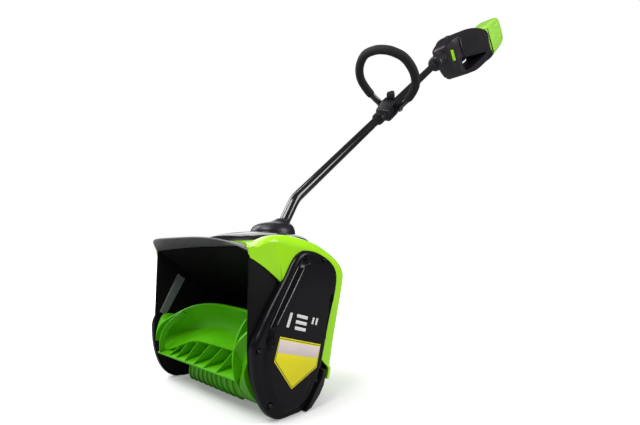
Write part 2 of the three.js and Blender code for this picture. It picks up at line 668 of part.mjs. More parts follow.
function motorCan() {
  const x1 = WALL_X - WALL - SEAT;
  const can = rod(MOTOR_RADIUS, [x1 - MOTOR_LENGTH, MOTOR_Y, MOTOR_Z], X_AXIS, MOTOR_LENGTH, 28);
  return can.subtract(rod(MOTOR_SHAFT_RADIUS + RUN, [x1 - 40, MOTOR_Y, MOTOR_Z], X_AXIS, 50, 16));
}

function motorShaft() {
  const x0 = WALL_X - WALL - SEAT - 39;
  const shaft = rod(MOTOR_SHAFT_RADIUS, [x0, MOTOR_Y, MOTOR_Z], X_AXIS, AXLE_END - x0, 16);
  return joined(shaft, pulley(SMALL_PULLEY, 0, MOTOR_Y, MOTOR_Z));
}

// The closed path of a belt round two pulleys.
function beltOutline(grow) {
  const big = LARGE_PULLEY + SEAT + grow;
  const small = SMALL_PULLEY + SEAT + grow;
  const away = Math.hypot(MOTOR_Y - AXLE_Y, MOTOR_Z - AXLE_Z);
  const line = Math.atan2(MOTOR_Z - AXLE_Z, MOTOR_Y - AXLE_Y);
  const wrap = Math.acos((big - small) / away);
  const arc = (y, z, r, from, to, steps) => span(from, to, steps).map((t) => [y + r * Math.cos(t),
    z + r * Math.sin(t)]);
  return outline([
    ...arc(AXLE_Y, AXLE_Z, big * 1.004, line + wrap, line + 2 * Math.PI - wrap, 24),
    ...arc(MOTOR_Y, MOTOR_Z, small * 1.01, line - wrap, line + wrap, 10),
  ]);
}

function driveBelt() {
  const x0 = PULLEY_X + 1.2;
  const x1 = PULLEY_X + PULLEY_WIDTH - 1.2;
  return prismX(beltOutline(BELT_THICK), x0, x1).subtract(prismX(beltOutline(0), x0 - 1, x1 + 1));
}

function idlerPlace() {
  const line = Math.atan2(MOTOR_Z - AXLE_Z, MOTOR_Y - AXLE_Y);
  const away = Math.hypot(MOTOR_Y - AXLE_Y, MOTOR_Z - AXLE_Z);
  const tilt = Math.asin((LARGE_PULLEY - SMALL_PULLEY) / away);
  const along = line - tilt;
  const normal = along + Math.PI / 2;
  const reach = SMALL_PULLEY + BELT_THICK + 2 * SEAT + IDLER_RADIUS + 0.2;
  const back = 62;
  return [
    MOTOR_Y + reach * Math.cos(normal) - back * Math.cos(along),
    MOTOR_Z + reach * Math.sin(normal) - back * Math.sin(along),
  ];
}

function idlerPulley() {
  const [y, z] = idlerPlace();
  return ringOf(IDLER_RADIUS, 3 + SEAT, [PULLEY_X + 1.2, y, z], X_AXIS, PULLEY_WIDTH - 2.4, 24);
}

function idlerStud() {
  const [y, z] = idlerPlace();
  const head = rod(5, [PULLEY_X + PULLEY_WIDTH - 1.2 + SEAT, y, z], X_AXIS, 2, 16);
  return joined(head, rod(3, [WALL_X + SEAT, y, z], X_AXIS, PULLEY_X + PULLEY_WIDTH - WALL_X - 1, 16));
}

function coverScrew(side, y, z) {
  const x0 = RIM_X + 1 + SEAT - BOLT_LENGTH;
  const profile = [[0, 0], [BOLT_RADIUS, 0], [BOLT_RADIUS, BOLT_LENGTH], [BOLT_HEAD, BOLT_LENGTH],
    [BOLT_HEAD - 0.6, BOLT_LENGTH + 1.8], [0, BOLT_LENGTH + 1.8]];
  const screw = turned(profile, [x0, y, z], X_AXIS, 12);
  return side > 0 ? screw : screw.mirror([1, 0, 0]);
}

// ---------------------------------------------------------------- handles
// These pieces are drawn in the tube's frame: x along the tube from its bend, y above it, z across.
function upperTube() {
  const bore = TUBE_RADIUS - TUBE_WALL;
  const plug = bore * Math.cos(Math.PI / TUBE_SIDES) - SEAT;
  const start = SPLICE_AT - SPLICE_INSERT;
  const face = SPLICE_AT + SEAT;
  const profile = [[plug - TUBE_WALL, start], [plug, start], [plug, face], [TUBE_RADIUS, face],
    [TUBE_RADIUS, TUBE_END], [bore, TUBE_END],
    [bore, face + 6], [plug - TUBE_WALL, face + 4], [plug - TUBE_WALL, start]];
  return turned(profile, [0, 0, 0], X_AXIS, 24);
}

function collarRing(from, to, radius, chamfer) {
  const bore = TUBE_RADIUS + SEAT;
  const profile = [[bore, from], [radius - chamfer, from], [radius, from + chamfer], [radius,
    to - chamfer], [radius - chamfer, to], [bore, to], [bore, from]];
  return turned(profile, [0, 0, 0], X_AXIS, 24);
}

const SPLICE_RING_END = 13;
const CLAMP_START = SPLICE_AT + SPLICE_RING_END + 1;
const CLAMP_END = LOOP_AT + 20;
const CLAMP_HALF = 21;
const CLAMP_SPLIT = -8;
const EAR_START = 15;
const EAR_END = 25;
const EAR_RADIUS = 11;
const LUG_THICK = 9;
const LOOP_BOLT_RADIUS = 4;
const KNOB_AT = LOOP_AT + 6;
const KNOB_STUD = 4;

function crossBore(radius, z0, z1) {
  return rod(radius, [LOOP_AT, 0, z0], Z_AXIS, z1 - z0, 20);
}

function clampPart(upper) {
  const side = outline([[CLAMP_START, -14], [CLAMP_START + 8, -22], [CLAMP_END - 8, -22], [CLAMP_END,
    -12], [CLAMP_END, 18],
    [CLAMP_END - 8, 26], [CLAMP_START + 36, 26], [CLAMP_START + 14, 17], [CLAMP_START, 14]]);
  const block = prism(side, -CLAMP_HALF, CLAMP_HALF, 6);
  const ears = joined(crossBore(EAR_RADIUS, EAR_START, EAR_END), crossBore(EAR_RADIUS, -EAR_END, -EAR_START));
  const tube = rod(TUBE_RADIUS + SEAT, [CLAMP_START - 10, 0, 0], X_AXIS, 120, 24);
  const boltHole = joined(crossBore(LOOP_BOLT_RADIUS + SEAT, TUBE_RADIUS, 40),
    crossBore(LOOP_BOLT_RADIUS + SEAT, -40, -TUBE_RADIUS));
  const studHole = rod(KNOB_STUD + SEAT, [KNOB_AT, 0, 0], Y_AXIS, 40, 16);
  if (upper) return joined(block, ears).subtract(joined(tube, boltHole, studHole)).trimByPlane([0, 1, 0],
    CLAMP_SPLIT);
  return block.subtract(joined(tube, ears,
    boltHole)).subtract(crossBore(EAR_RADIUS + SEAT, -40, 40)).trimByPlane([0, -1, 0],
    -CLAMP_SPLIT + SEAT);
}

function clampKnob() {
  const foot = TUBE_RADIUS + SEAT + 0.2;
  const top = 26 + SEAT;
  const stud = rod(KNOB_STUD, [KNOB_AT, foot, 0], Y_AXIS, top - foot + 4, 16);
  const lobes = new THREE.Shape(span(0, 2 * Math.PI, 24).slice(0, -1).map((t) => {
    const r = 12 + 2.2 * Math.cos(3 * t);
    return new THREE.Vector2(KNOB_AT + r * Math.cos(t), r * Math.sin(t));
  }));
  const upright = new THREE.Matrix4().makeRotationX(-Math.PI / 2);
  const knob = prism(lobes, 0, 20, 3).transform(upright.elements).translate([0, top, 0]);
  return joined(stud, knob);
}

function loopBolt(side) {
  const z0 = TUBE_RADIUS + 1.5;
  const end = EAR_END + SEAT + LUG_THICK + SEAT;
  const bolt = joined(crossBore(LOOP_BOLT_RADIUS, z0, end), crossBore(7.5, end, end + 4));
  return side > 0 ? bolt : bolt.mirror([0, 0, 1]);
}

// The loop's centre line in its own plane: [across, up] from one pivot lug over to the other.
const loopHalf = [[31, 6], [49, 24], [70, 52], [87, 90], [84, 132], [61, 171], [28, 188]];

function loopCurve(from, to) {
  const side = loopHalf.map(([a, b]) => new THREE.Vector3(LOOP_AT, b, a));
  const far = loopHalf.map(([a, b]) => new THREE.Vector3(LOOP_AT, b, -a)).reverse();
  const whole = new THREE.CatmullRomCurve3([...side, new THREE.Vector3(LOOP_AT, LOOP_HEIGHT, 0), ...far],
    false, "centripetal");
  const part = new THREE.Curve();
  part.getPoint = (t) => whole.getPointAt(from + (to - from) * t);
  return part;
}

function loopTube() {
  const bar = swept(loopCurve(0, 1), LOOP_RADIUS, 24, 0, 10);
  const room = joined(crossBore(EAR_RADIUS + 16, -EAR_END - SEAT, EAR_END + SEAT));
  const headRoom = joined(crossBore(8, EAR_END + SEAT + LUG_THICK, 60), crossBore(8, -60,
    -EAR_END - SEAT - LUG_THICK));
  const right = crossBore(EAR_RADIUS, EAR_END + SEAT, EAR_END + SEAT + LUG_THICK);
  const holes = crossBore(LOOP_BOLT_RADIUS + SEAT, -60, 60);
  return joined(bar.subtract(joined(room, headRoom)), right, right.mirror([0, 0, 1])).subtract(holes);
}

function loopGrip() {
  const outer = swept(loopCurve(0.075, 0.925), GRIP_RADIUS, 21, 0, 10);
  return outer.subtract(swept(loopCurve(0, 1), LOOP_RADIUS + SEAT, 24, 0, 10));
}

// Rear housing: side view, and half of its plan view as [along, across].
const COLUMN_HALF = 34;
const housingSide = [[1013, 36], [1009, 0], [1018, -36], [1042, -80], [1085, -107], [1160, -125], [1240,
  -140], [1360, -149], [1478, -155],
  [1462, -107], [1480, -52], [1445, -20], [1345, 12], [1250, 33], [1160, 46], [1080, 48]];
const housingPlan = [[1005, 22], [1014, 32], [1022, COLUMN_HALF], [1062, COLUMN_HALF], [1112,
  GRIP_HALF_WIDTH - 2], [1150, GRIP_HALF_WIDTH], [1490, GRIP_HALF_WIDTH]];
const fingerHole = [[1100, -47], [1150, -56], [1260, -82], [1386, -113], [1300, -112], [1200, -108],
  [1130, -101], [1098, -90]];
const HOUSING_WALL = 4;
const BAY_START = 1418;
const BAY_TOP = -40;
const BAY_FLOOR = -142;
const BAY_HALF = 38;
const PIVOT_S = 1234;
const PIVOT_N = -60;
const PIN_RADIUS = 3;
const TRIGGER_HALF = 8;
const TRIGGER_SLOT = 1;
const BUTTON_START = 1104;
const BUTTON_END = 1126;
const BUTTON_HALF = 7;
const BUTTON_TRAVEL = 4;

function housingSolid() {
  const plan = outline([...housingPlan, ...housingPlan.map(([a, b]) => [a, -b]).reverse()]);
  const planFrame = new THREE.Matrix4().makeBasis(X_AXIS, Z_AXIS, Y_AXIS.clone().negate());
  const above = prism(plan, -80, 180).transform(planFrame.elements);
  return prism(smoothOutline(housingSide, 64), -GRIP_HALF_WIDTH, GRIP_HALF_WIDTH, 9).intersect(above);
}

function housingRooms() {
  const hole = prism(smoothOutline(fingerHole, 32), -80, 80);
  const pocket = outline([[1160, 34], [1250, 20], [1340, 0], [1398, -20], [1398, -72], [1300, -66], [1250,
    -50], [1160, -30]]);
  const deep = prism(pocket, -GRIP_HALF_WIDTH + HOUSING_WALL, GRIP_HALF_WIDTH - HOUSING_WALL);
  const slot = outline([[1104, -20], [1162, -20], [1252, -46], [1252, -92], [1104, -66]]);
  const narrow = prism(slot, -TRIGGER_HALF - TRIGGER_SLOT, TRIGGER_HALF + TRIGGER_SLOT);
  const switchRoom = box(1126 - SEAT, 1162, -21, 4, -TRIGGER_HALF - TRIGGER_SLOT,
    TRIGGER_HALF + TRIGGER_SLOT);
  const button = box(BUTTON_START - SEAT, BUTTON_END + SEAT, 20, 70, -BUTTON_HALF - SEAT, BUTTON_HALF + SEAT);
  const bay = box(BAY_START, 1520, BAY_FLOOR, BAY_TOP, -BAY_HALF, BAY_HALF);
  const contact = box(1390, 1430, -70, -50, -16, 16);
  const tube = rod(TUBE_RADIUS + SEAT, [990, 0, 0], X_AXIS, DRAWN_TUBE_END - 990 + SEAT, 24);
  const pin = rod(PIN_RADIUS + SEAT, [PIVOT_S, PIVOT_N, -GRIP_HALF_WIDTH + HOUSING_WALL], Z_AXIS,
    2 * (GRIP_HALF_WIDTH - HOUSING_WALL), 16);
  return joined(hole, deep, narrow, switchRoom, button, bay, contact, tube, pin);
}

function housingHalf(side) {
  const whole = housingSolid().subtract(housingRooms());
  return side > 0 ? whole.trimByPlane([0, 0, 1], SEAT / 2) : whole.trimByPlane([0, 0, -1], SEAT / 2);
}

function flankPanel(side) {
  const shape = smoothOutline([[1112, 30], [1160, 34], [1250, 21], [1345, 1], [1430, -28], [1460, -56],
    [1446, -102], [1420, -112],
    [1395, -104], [1260, -72], [1150, -46], [1112, -38]], 40);
  const panel = prism(shape, GRIP_HALF_WIDTH + SEAT, GRIP_HALF_WIDTH + SEAT + 1.6);
  return side > 0 ? panel : panel.mirror([0, 0, 1]);
}

function accentBar(side) {
  const shape = outline([[1030, 13], [1052, 7], [1045, -33], [1023, -28]]);
  const bar = prism(shape, COLUMN_HALF + SEAT, COLUMN_HALF + 2);
  return side > 0 ? bar : bar.mirror([0, 0, 1]);
}

function trigger() {
  const shape = outline([[1110, -36], [1160, -33], [1226, -48], [1243, -56], [1243, -68], [1228, -78],
    [1196, -80], [1150, -72], [1112, -62]]);
  const body = prism(shape, -TRIGGER_HALF, TRIGGER_HALF, 1.5);
  const pin = rod(PIN_RADIUS + RUN, [PIVOT_S, PIVOT_N, -20], Z_AXIS, 40, 16);
  const springRoom = rod(7.5, [PIVOT_S, PIVOT_N, 1], Z_AXIS, 20, 16);
  return body.subtract(joined(pin, springRoom));
}

function triggerPin() {
  const half = GRIP_HALF_WIDTH - HOUSING_WALL - SEAT;
  return rod(PIN_RADIUS, [PIVOT_S, PIVOT_N, -half], Z_AXIS, 2 * half, 16);
}

// The torsion spring round the trigger's pin.
function triggerSpring() {
  const wire = 0.7;
  const radius = PIN_RADIUS + SEAT + wire + 0.3;
  const turns = 3;
  const coil = new THREE.Curve();
  coil.getPoint = (t) => {
    const a = 2 * Math.PI * turns * t;
    return new THREE.Vector3(PIVOT_S + radius * Math.cos(a), PIVOT_N + radius * Math.sin(a), 2.4 + 5.2 * t);
  };
  return swept(coil, wire, 30, 0, 6);
}

function lockButton() {
  return box(BUTTON_START, BUTTON_END, 20 + BUTTON_TRAVEL + SEAT, 55, -BUTTON_HALF, BUTTON_HALF);
}

function controlBoard() {
  const half = GRIP_HALF_WIDTH - HOUSING_WALL - SEAT;
  return box(1190, 1320, -12, -10.4, -half, half);
}

const BATTERY_FACE = 1483;
const BATTERY_END = 1716;
const BATTERY_HALF = 44;

function batteryPack() {
  const side = smoothOutline([[BATTERY_FACE, -30], [BATTERY_FACE + 10, -21], [1600, -21], [1690, -27],
    [1710, -44], [BATTERY_END, -90],
    [1712, -132], [1680, -154], [1600, -159], [BATTERY_FACE + 10, -159], [BATTERY_FACE, -148],
      [BATTERY_FACE, -90]], 40);
  const block = prism(side, -BATTERY_HALF, BATTERY_HALF, 8);
  const insert = box(BAY_START + 4, BATTERY_FACE + 12, BAY_FLOOR + 1, BAY_TOP - 1, -BAY_HALF + 1,
    BAY_HALF - 1);
  return joined(block, insert).subtract(latchRoom(SEAT));
}

function latchRoom(grow) {
  return box(1640 - grow, 1668 + grow, -175, -148 + (grow > 0 ? 3 : 0), -14 - grow, 14 + grow);
}

function batteryLatch() {
  return box(1640, 1668, -165, -148, -14, 14);
}

function terminalBlock() {
  return box(1391, BAY_START + 3, -70 + SEAT, -50 - SEAT, -16 + SEAT, 16 - SEAT);
}

function powerSwitch() {
  const half = TRIGGER_HALF + TRIGGER_SLOT - SEAT;
  return box(1126, 1156, -20, 3, -half, half);
}

function collarScrewRoom() {
  return rod(3 + SEAT, [965, 0, TUBE_RADIUS], Z_AXIS, 30, 12).add(rod(6, [965, 0, 26], Z_AXIS, 10, 12));
}

function collarScrew() {
  return rod(3, [965, 0, TUBE_RADIUS + 1], Z_AXIS, 14, 12).add(rod(5.5, [965, 0, 26 + SEAT], Z_AXIS, 2.5,
    12));
}

// ---------------------------------------------------------------- assembly
const machine = new THREE.Group();

const head = new THREE.Group();
head.position.set(0, -ORIGIN_Y, 0);
machine.add(head);

const sides = [["left", 1], ["right", -1]];

head.add(
  piece("scoop_shell", "blackPlastic", scoopShell()),
  piece("chute_lip", "greyPlastic", lip()),
  piece("scraper_bar", "steel", scraperBar()),
  piece("shroud", "limePlastic", shroud()),
  piece("motor_hood", "glossBlack", motorHood()),
  piece("neck_collar", "blackPlastic", neck()),
  piece("cross_member", "steel", crossMember()),
  piece("lower_tube", "blackSteel", lowerTube()),
  piece("rotor", "rotorGreen", rotor()),
  piece("rotor_axle", "steel", rotorAxle()),
  piece("rotor_pulley", "steel", pulley(LARGE_PULLEY, AXLE_RADIUS + SEAT, AXLE_Y, AXLE_Z)),
  piece("motor_can", "steel", motorCan()),
  piece("motor_shaft", "steel", motorShaft()),
  piece("drive_belt", "rubber", driveBelt()),
  piece("idler_pulley", "greyPlastic", idlerPulley()),
  piece("idler_stud", "steel", idlerStud()),
);
for (const [name, side] of sides) {
  head.add(
    piece(`side_cover_${name}`, "blackPlastic", sideCover(side)),
    piece(`skid_${name}`, "blackPlastic", skid(side)),
    piece(`wall_strip_${name}`, "greyPlastic", wallStrip(side)),
    piece(`axle_bearing_${name}`, "steel", bearing(side)),
  );
  boltPlaces.forEach(([y, z], i) => {
    head.add(piece(`cover_screw_${name}_${i + 1}`, "steel", coverScrew(side, y, z)));
  });
}

const shaft = new THREE.Group();
shaft.position.copy(bend);
shaft.quaternion.setFromRotationMatrix(
  new THREE.Matrix4().makeBasis(tubeAxis, new THREE.Vector3().crossVectors(X_AXIS, tubeAxis), X_AXIS),
);
head.add(shaft);
shaft.add(
  piece("upper_tube", "blackSteel", upperTube()),
  piece("splice_ring", "blackPlastic", collarRing(SPLICE_AT - 18, SPLICE_AT + SPLICE_RING_END, 20, 3)),
);

const rear = new THREE.Group();
rear.position.x = TUBE_END - DRAWN_TUBE_END;
shaft.add(rear);
rear.add(
  piece("rear_collar", "blackPlastic", collarRing(928, 1004, 29, 6).subtract(collarScrewRoom())),
  piece("collar_screw", "steel", collarScrew()),
  piece("trigger", "blackPlastic", trigger()),
  piece("trigger_pin", "steel", triggerPin()),
  piece("trigger_spring", "steel", triggerSpring()),
  piece("lock_button", "blackPlastic", lockButton()),
  piece("power_switch", "blackPlastic", powerSwitch()),
  piece("control_board", "board", controlBoard()),
  piece("terminal_block", "brass", terminalBlock()),
  piece("battery_pack", "limePlastic", batteryPack()),
  piece("battery_latch", "blackPlastic", batteryLatch()),
);
for (const [name, side] of sides) {
  rear.add(
    piece(`grip_housing_${name}`, "blackPlastic", housingHalf(side)),
    piece(`flank_panel_${name}`, "glossBlack", flankPanel(side)),
    piece(`accent_bar_${name}`, "limePlastic", accentBar(side)),
  );
}

const clamp = new THREE.Group();
clamp.rotation.x = rad(LOOP_ROLL);
shaft.add(clamp);
clamp.add(
  piece("clamp_upper", "blackPlastic", clampPart(true)),
  piece("clamp_lower", "blackPlastic", clampPart(false)),
  piece("clamp_knob", "blackPlastic", clampKnob()),
);

const loopTurn = new THREE.Group();
loopTurn.position.x = LOOP_AT;
loopTurn.rotation.z = rad(LOOP_LEAN);
clamp.add(loopTurn);
const loop = new THREE.Group();
loop.position.x = -LOOP_AT;
loopTurn.add(loop);
loop.add(
  piece("loop_tube", "blackSteel", loopTube()),
  piece("loop_grip", "foam", loopGrip()),
);
for (const [name, side] of sides) {
  loop.add(piece(`loop_bolt_${name}`, "steel", loopBolt(side)));
}

export default machine;
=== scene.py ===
# Battery snow shovel: the finish of every surface, over the frame of its construction model.
import math

import bmesh
import bpy
import numpy as np
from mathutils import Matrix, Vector


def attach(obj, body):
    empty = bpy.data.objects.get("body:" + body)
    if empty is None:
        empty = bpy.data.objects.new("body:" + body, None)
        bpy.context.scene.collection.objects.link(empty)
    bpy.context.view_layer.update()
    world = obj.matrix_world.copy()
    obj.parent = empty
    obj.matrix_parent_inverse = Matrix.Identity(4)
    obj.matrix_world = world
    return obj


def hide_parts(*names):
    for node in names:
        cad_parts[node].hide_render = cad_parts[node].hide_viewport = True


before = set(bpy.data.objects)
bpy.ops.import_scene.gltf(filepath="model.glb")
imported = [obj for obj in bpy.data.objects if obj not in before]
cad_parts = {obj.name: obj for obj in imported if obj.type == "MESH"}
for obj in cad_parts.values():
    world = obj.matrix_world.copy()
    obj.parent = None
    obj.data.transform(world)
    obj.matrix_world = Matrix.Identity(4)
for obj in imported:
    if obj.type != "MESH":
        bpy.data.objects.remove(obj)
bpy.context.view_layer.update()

# ---------------------------------------------------------------------------------- studio
# A plain white sweep under soft overhead light. The camera looks slightly up from beside the
# mouth, at about the height of the lip.
MM = 0.001
scene = bpy.context.scene
scene.view_settings.view_transform = "Standard"

camera = bpy.data.objects.new("camera", bpy.data.cameras.new("camera"))
scene.collection.objects.link(camera)
scene.camera = camera
camera.data.sensor_width = 36.0
camera.data.lens = 22.05
camera.location = (0.642, -0.481, 0.254)
camera.rotation_euler = (math.radians(90 + 6.04), 0, math.radians(42.77))
camera.data.clip_start = 0.01


def fill(tree, made, inputs):
    """Gives each named or numbered input of a node a constant, or a link from another node's socket."""
    for key, value in inputs.items():
        if isinstance(value, bpy.types.NodeSocket):
            tree.links.new(value, made.inputs[key])
        else:
            made.inputs[key].default_value = value


def add_node(tree, kind, inputs=None, **settings):
    """A new shader node with its settings made and its inputs filled."""
    made = tree.nodes.new("ShaderNode" + kind)
    for key, value in settings.items():
        setattr(made, key, value)
    fill(tree, made, inputs or {})
    return made


def white_to_camera(name):
    """A matt floor, dim to all rays but the camera's, with a glow that only the camera sees: faint
    round the object and full beyond it, so that the floor is white wherever no shadow falls."""
    material = bpy.data.materials.new(name)
    material.use_nodes = True
    tree = material.node_tree
    tree.nodes.clear()
    ray = add_node(tree, "LightPath").outputs["Is Camera Ray"]
    matt = add_node(tree, "BsdfDiffuse", {"Color": (0.8, 0.8, 0.8, 1)})
    dim = add_node(tree, "BsdfDiffuse", {"Color": (0.3, 0.3, 0.3, 1)})
    pick = add_node(tree, "MixShader", {0: ray, 1: dim.outputs[0], 2: matt.outputs[0]})
    place = add_node(tree, "TexCoord").outputs["Object"]
    far = add_node(tree, "VectorMath", {0: place}, operation="LENGTH")
    reach = add_node(tree, "MapRange", {"Value": far.outputs["Value"], "From Min": 0.3, "From Max": 0.95,
                                        "To Min": 0.22, "To Max": 1.2})
    seen = add_node(tree, "Math", {0: reach.outputs["Result"], 1: ray}, operation="MULTIPLY")
    glow = add_node(tree, "Emission", {"Strength": seen.outputs[0]})
    both = add_node(tree, "AddShader", {0: pick.outputs[0], 1: glow.outputs[0]})
    add_node(tree, "OutputMaterial", {"Surface": both.outputs[0]})
    return material


floor_size = 30.0
floor_mesh = bpy.data.meshes.new("floor")
corners = [(-1, -1), (1, -1), (1, 1), (-1, 1)]
floor_mesh.from_pydata([(floor_size * a, floor_size * b, 0) for a, b in corners], [], [(0, 1, 2, 3)])
floor = bpy.data.objects.new("floor", floor_mesh)
scene.collection.objects.link(floor)
floor_mesh.materials.append(white_to_camera("studio_floor"))

world = bpy.data.worlds.new("studio")
scene.world = world
world.use_nodes = True
world_tree = world.node_tree
ray = add_node(world_tree, "LightPath")
glossy = add_node(world_tree, "MapRange",
                  {"Value": ray.outputs["Is Glossy Ray"], "To Min": 0.5, "To Max": 0.05})
level = add_node(world_tree, "MapRange", {"Value": ray.outputs["Is Camera Ray"],
                                          "To Min": glossy.outputs["Result"], "To Max": 1.0})
fill(world_tree, world_tree.nodes["Background"], {"Color": (1, 1, 1, 1), "Strength": level.outputs["Result"]})


def softbox(name, place, target, size, power):
    """An area lamp at a place, turned to a target."""
    lamp = bpy.data.lights.new(name, "AREA")
    lamp.shape = "RECTANGLE"
    lamp.size, lamp.size_y = size
    lamp.energy = power
    obj = bpy.data.objects.new(name, lamp)
    scene.collection.objects.link(obj)
    obj.location = place
    obj.rotation_euler = (Vector(target) - Vector(place)).to_track_quat("-Z", "Y").to_euler()


softbox("key_softbox", (0.2, -1.7, 2.6), (0, 0.1, 0.2), (1.6, 1.2), 51)
softbox("side_softbox", (2.4, 1.3, 1.7), (0, 0.3, 0.4), (1.2, 1.6), 40)
softbox("far_softbox", (-1.8, -0.6, 1.6), (0, 0.3, 0.5), (1.2, 1.6), 30)
softbox("rim_softbox", (-1.7, 1.5, 1.25), (0, 0.2, 0.35), (1.5, 1.1), 6)
softbox("strip_softbox", (-0.9, -0.2, 2.4), (0, 0.7, 0.8), (0.25, 1.8), 11)

# ---------------------------------------------------------------------------------- shared shapes
# The pieces made here are grids and lofts of points in millimetres. Most are moulded plastic, with
# one shared grain whose scale and depth differ from piece to piece.
ORIGIN_Y = 113.0


def head_space(points):
    """(x, y, z) in millimetres, y from the side walls' front edge, as places in the shared frame."""
    return (np.asarray(points, float) - [0, ORIGIN_Y, 0]) * MM


def grid_faces(rows, columns, wrap=False):
    """Quads between neighbouring rows and columns of a grid, the columns joined round if wrap."""
    count = columns if wrap else columns - 1
    r, c = np.meshgrid(np.arange(rows - 1), np.arange(count), indexing="ij")
    d = (c + 1) % columns
    quads = np.stack([r * columns + c, r * columns + d, (r + 1) * columns + d, (r + 1) * columns + c], -1)
    return quads.reshape(-1, 4)


def mesh_of(name, parts):
    """One mesh from (vertices, faces) parts, its shared points merged and its faces turned outwards."""
    verts = np.concatenate([v.reshape(-1, 3) for v, _ in parts])
    faces = []
    first = 0
    for v, f in parts:
        faces += [tuple(int(i) + first for i in face) for face in f]
        first += len(v.reshape(-1, 3))
    mesh = bpy.data.meshes.new(name)
    mesh.from_pydata(verts.tolist(), [], faces)
    work = bmesh.new()
    work.from_mesh(mesh)
    bmesh.ops.remove_doubles(work, verts=work.verts, dist=2e-6)
    bmesh.ops.recalc_face_normals(work, faces=work.faces)
    work.to_mesh(mesh)
    work.free()
    mesh.shade_smooth()
    mesh.set_sharp_from_angle(angle=math.radians(32))
    return mesh


def piece(name, parts, material, body="machine", replaces=()):
    """A finished piece that rides on a body and stands for the nodes it replaces."""
    obj = bpy.data.objects.new(name, mesh_of(name, parts))
    scene.collection.objects.link(obj)
    obj.data.materials.append(material)
    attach(obj, body)
    if replaces:
        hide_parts(*replaces)
    return obj


def loft(rings):
    """(vertices, faces) of rings of points joined in order, with flat ends."""
    rings = np.asarray(rings, float)
    rows, columns = rings.shape[:2]
    faces = [tuple(q) for q in grid_faces(rows, columns, wrap=True)]
    faces.append(tuple(range(columns))[::-1])
    faces.append(tuple(range((rows - 1) * columns, rows * columns)))
    return rings.reshape(-1, 3), faces


def inset(outline, distance):
    """A closed outline of (a, b) points moved inwards by a distance along its corner normals."""
    p = np.asarray(outline, float)
    before, after = np.roll(p, 1, 0), np.roll(p, -1, 0)
    run = after - before
    run /= np.linalg.norm(run, axis=1, keepdims=True)
    area = np.sum(p[:, 0] * after[:, 1] - after[:, 0] * p[:, 1])
    normal = np.stack([-run[:, 1], run[:, 0]], 1) * np.sign(area)
    return p + normal * distance


def rounded_slab(outline, low, high, round_low, round_high, steps=5):
    """Rings of (a, b, c): an outline carried from c = low to high, its rims rounded in quarter circles."""
    rings = []
    for t in np.linspace(0, math.pi / 2, steps):
        rings.append((inset(outline, round_low * (1 - math.sin(t))), low + round_low * (1 - math.cos(t))))
    for t in np.linspace(math.pi / 2, 0, steps):
        rings.append((inset(outline, round_high * (1 - math.sin(t))), high - round_high * (1 - math.cos(t))))
    return [at_level(ring, level) for ring, level in rings]


def circle(count):
    """Angles evenly round a full turn."""
    return np.linspace(0, 2 * math.pi, count + 1)[:-1]


def at_level(ring, level):
    """(a, b) points as (a, b, level)."""
    return np.column_stack([ring, np.full(len(ring), level)])


def at_x(x, ring):
    """(a, b) points as (x, a, b)."""
    return np.column_stack([np.full(len(ring), x), ring])


def tangents(path):
    """Unit directions along an open path."""
    run = np.gradient(path, axis=0)
    return run / np.linalg.norm(run, axis=1, keepdims=True)


def along_normal(line):
    """Unit normals of an open (y, z) line, pointing to its right."""
    run = tangents(line)
    return np.column_stack([run[:, 1], -run[:, 0]])


def across_x(rings):
    """(y, z, x) rings as (x, y, z)."""
    return [ring[:, [2, 0, 1]] for ring in rings]


def cubic(a, b, c, d, f):
    """The Catmull-Rom curve from b to c, at the fractions f."""
    return 0.5 * (2 * b + (c - a) * f + (2 * a - 5 * b + 4 * c - d) * f**2 + (3 * b - a - 3 * c + d) * f**3)


def smooth_closed(points, count):
    """A closed curve through points, sampled at count places."""
    p = np.asarray(points, float)
    n = len(p)
    t = np.linspace(0, n, count, endpoint=False)
    i = t.astype(int)
    f = (t - i)[:, None]
    return cubic(*[p[(i + k) % n] for k in (-1, 0, 1, 2)], f)


def smooth_open(points, count):
    """An open curve through points, sampled evenly along its length."""
    p = np.asarray(points, float)
    ends = np.vstack([2 * p[0] - p[1], p, 2 * p[-1] - p[-2]])
    t = np.linspace(0, len(p) - 1, 12 * len(p))
    i = np.minimum(t.astype(int), len(p) - 2)
    f = (t - i)[:, None]
    q = cubic(*[ends[i + k] for k in range(4)], f)
    run = np.concatenate([[0], np.cumsum(np.linalg.norm(np.diff(q, axis=0), axis=1))])
    at = np.linspace(0, run[-1], count)
    return np.column_stack([np.interp(at, run, q[:, k]) for k in range(q.shape[1])])


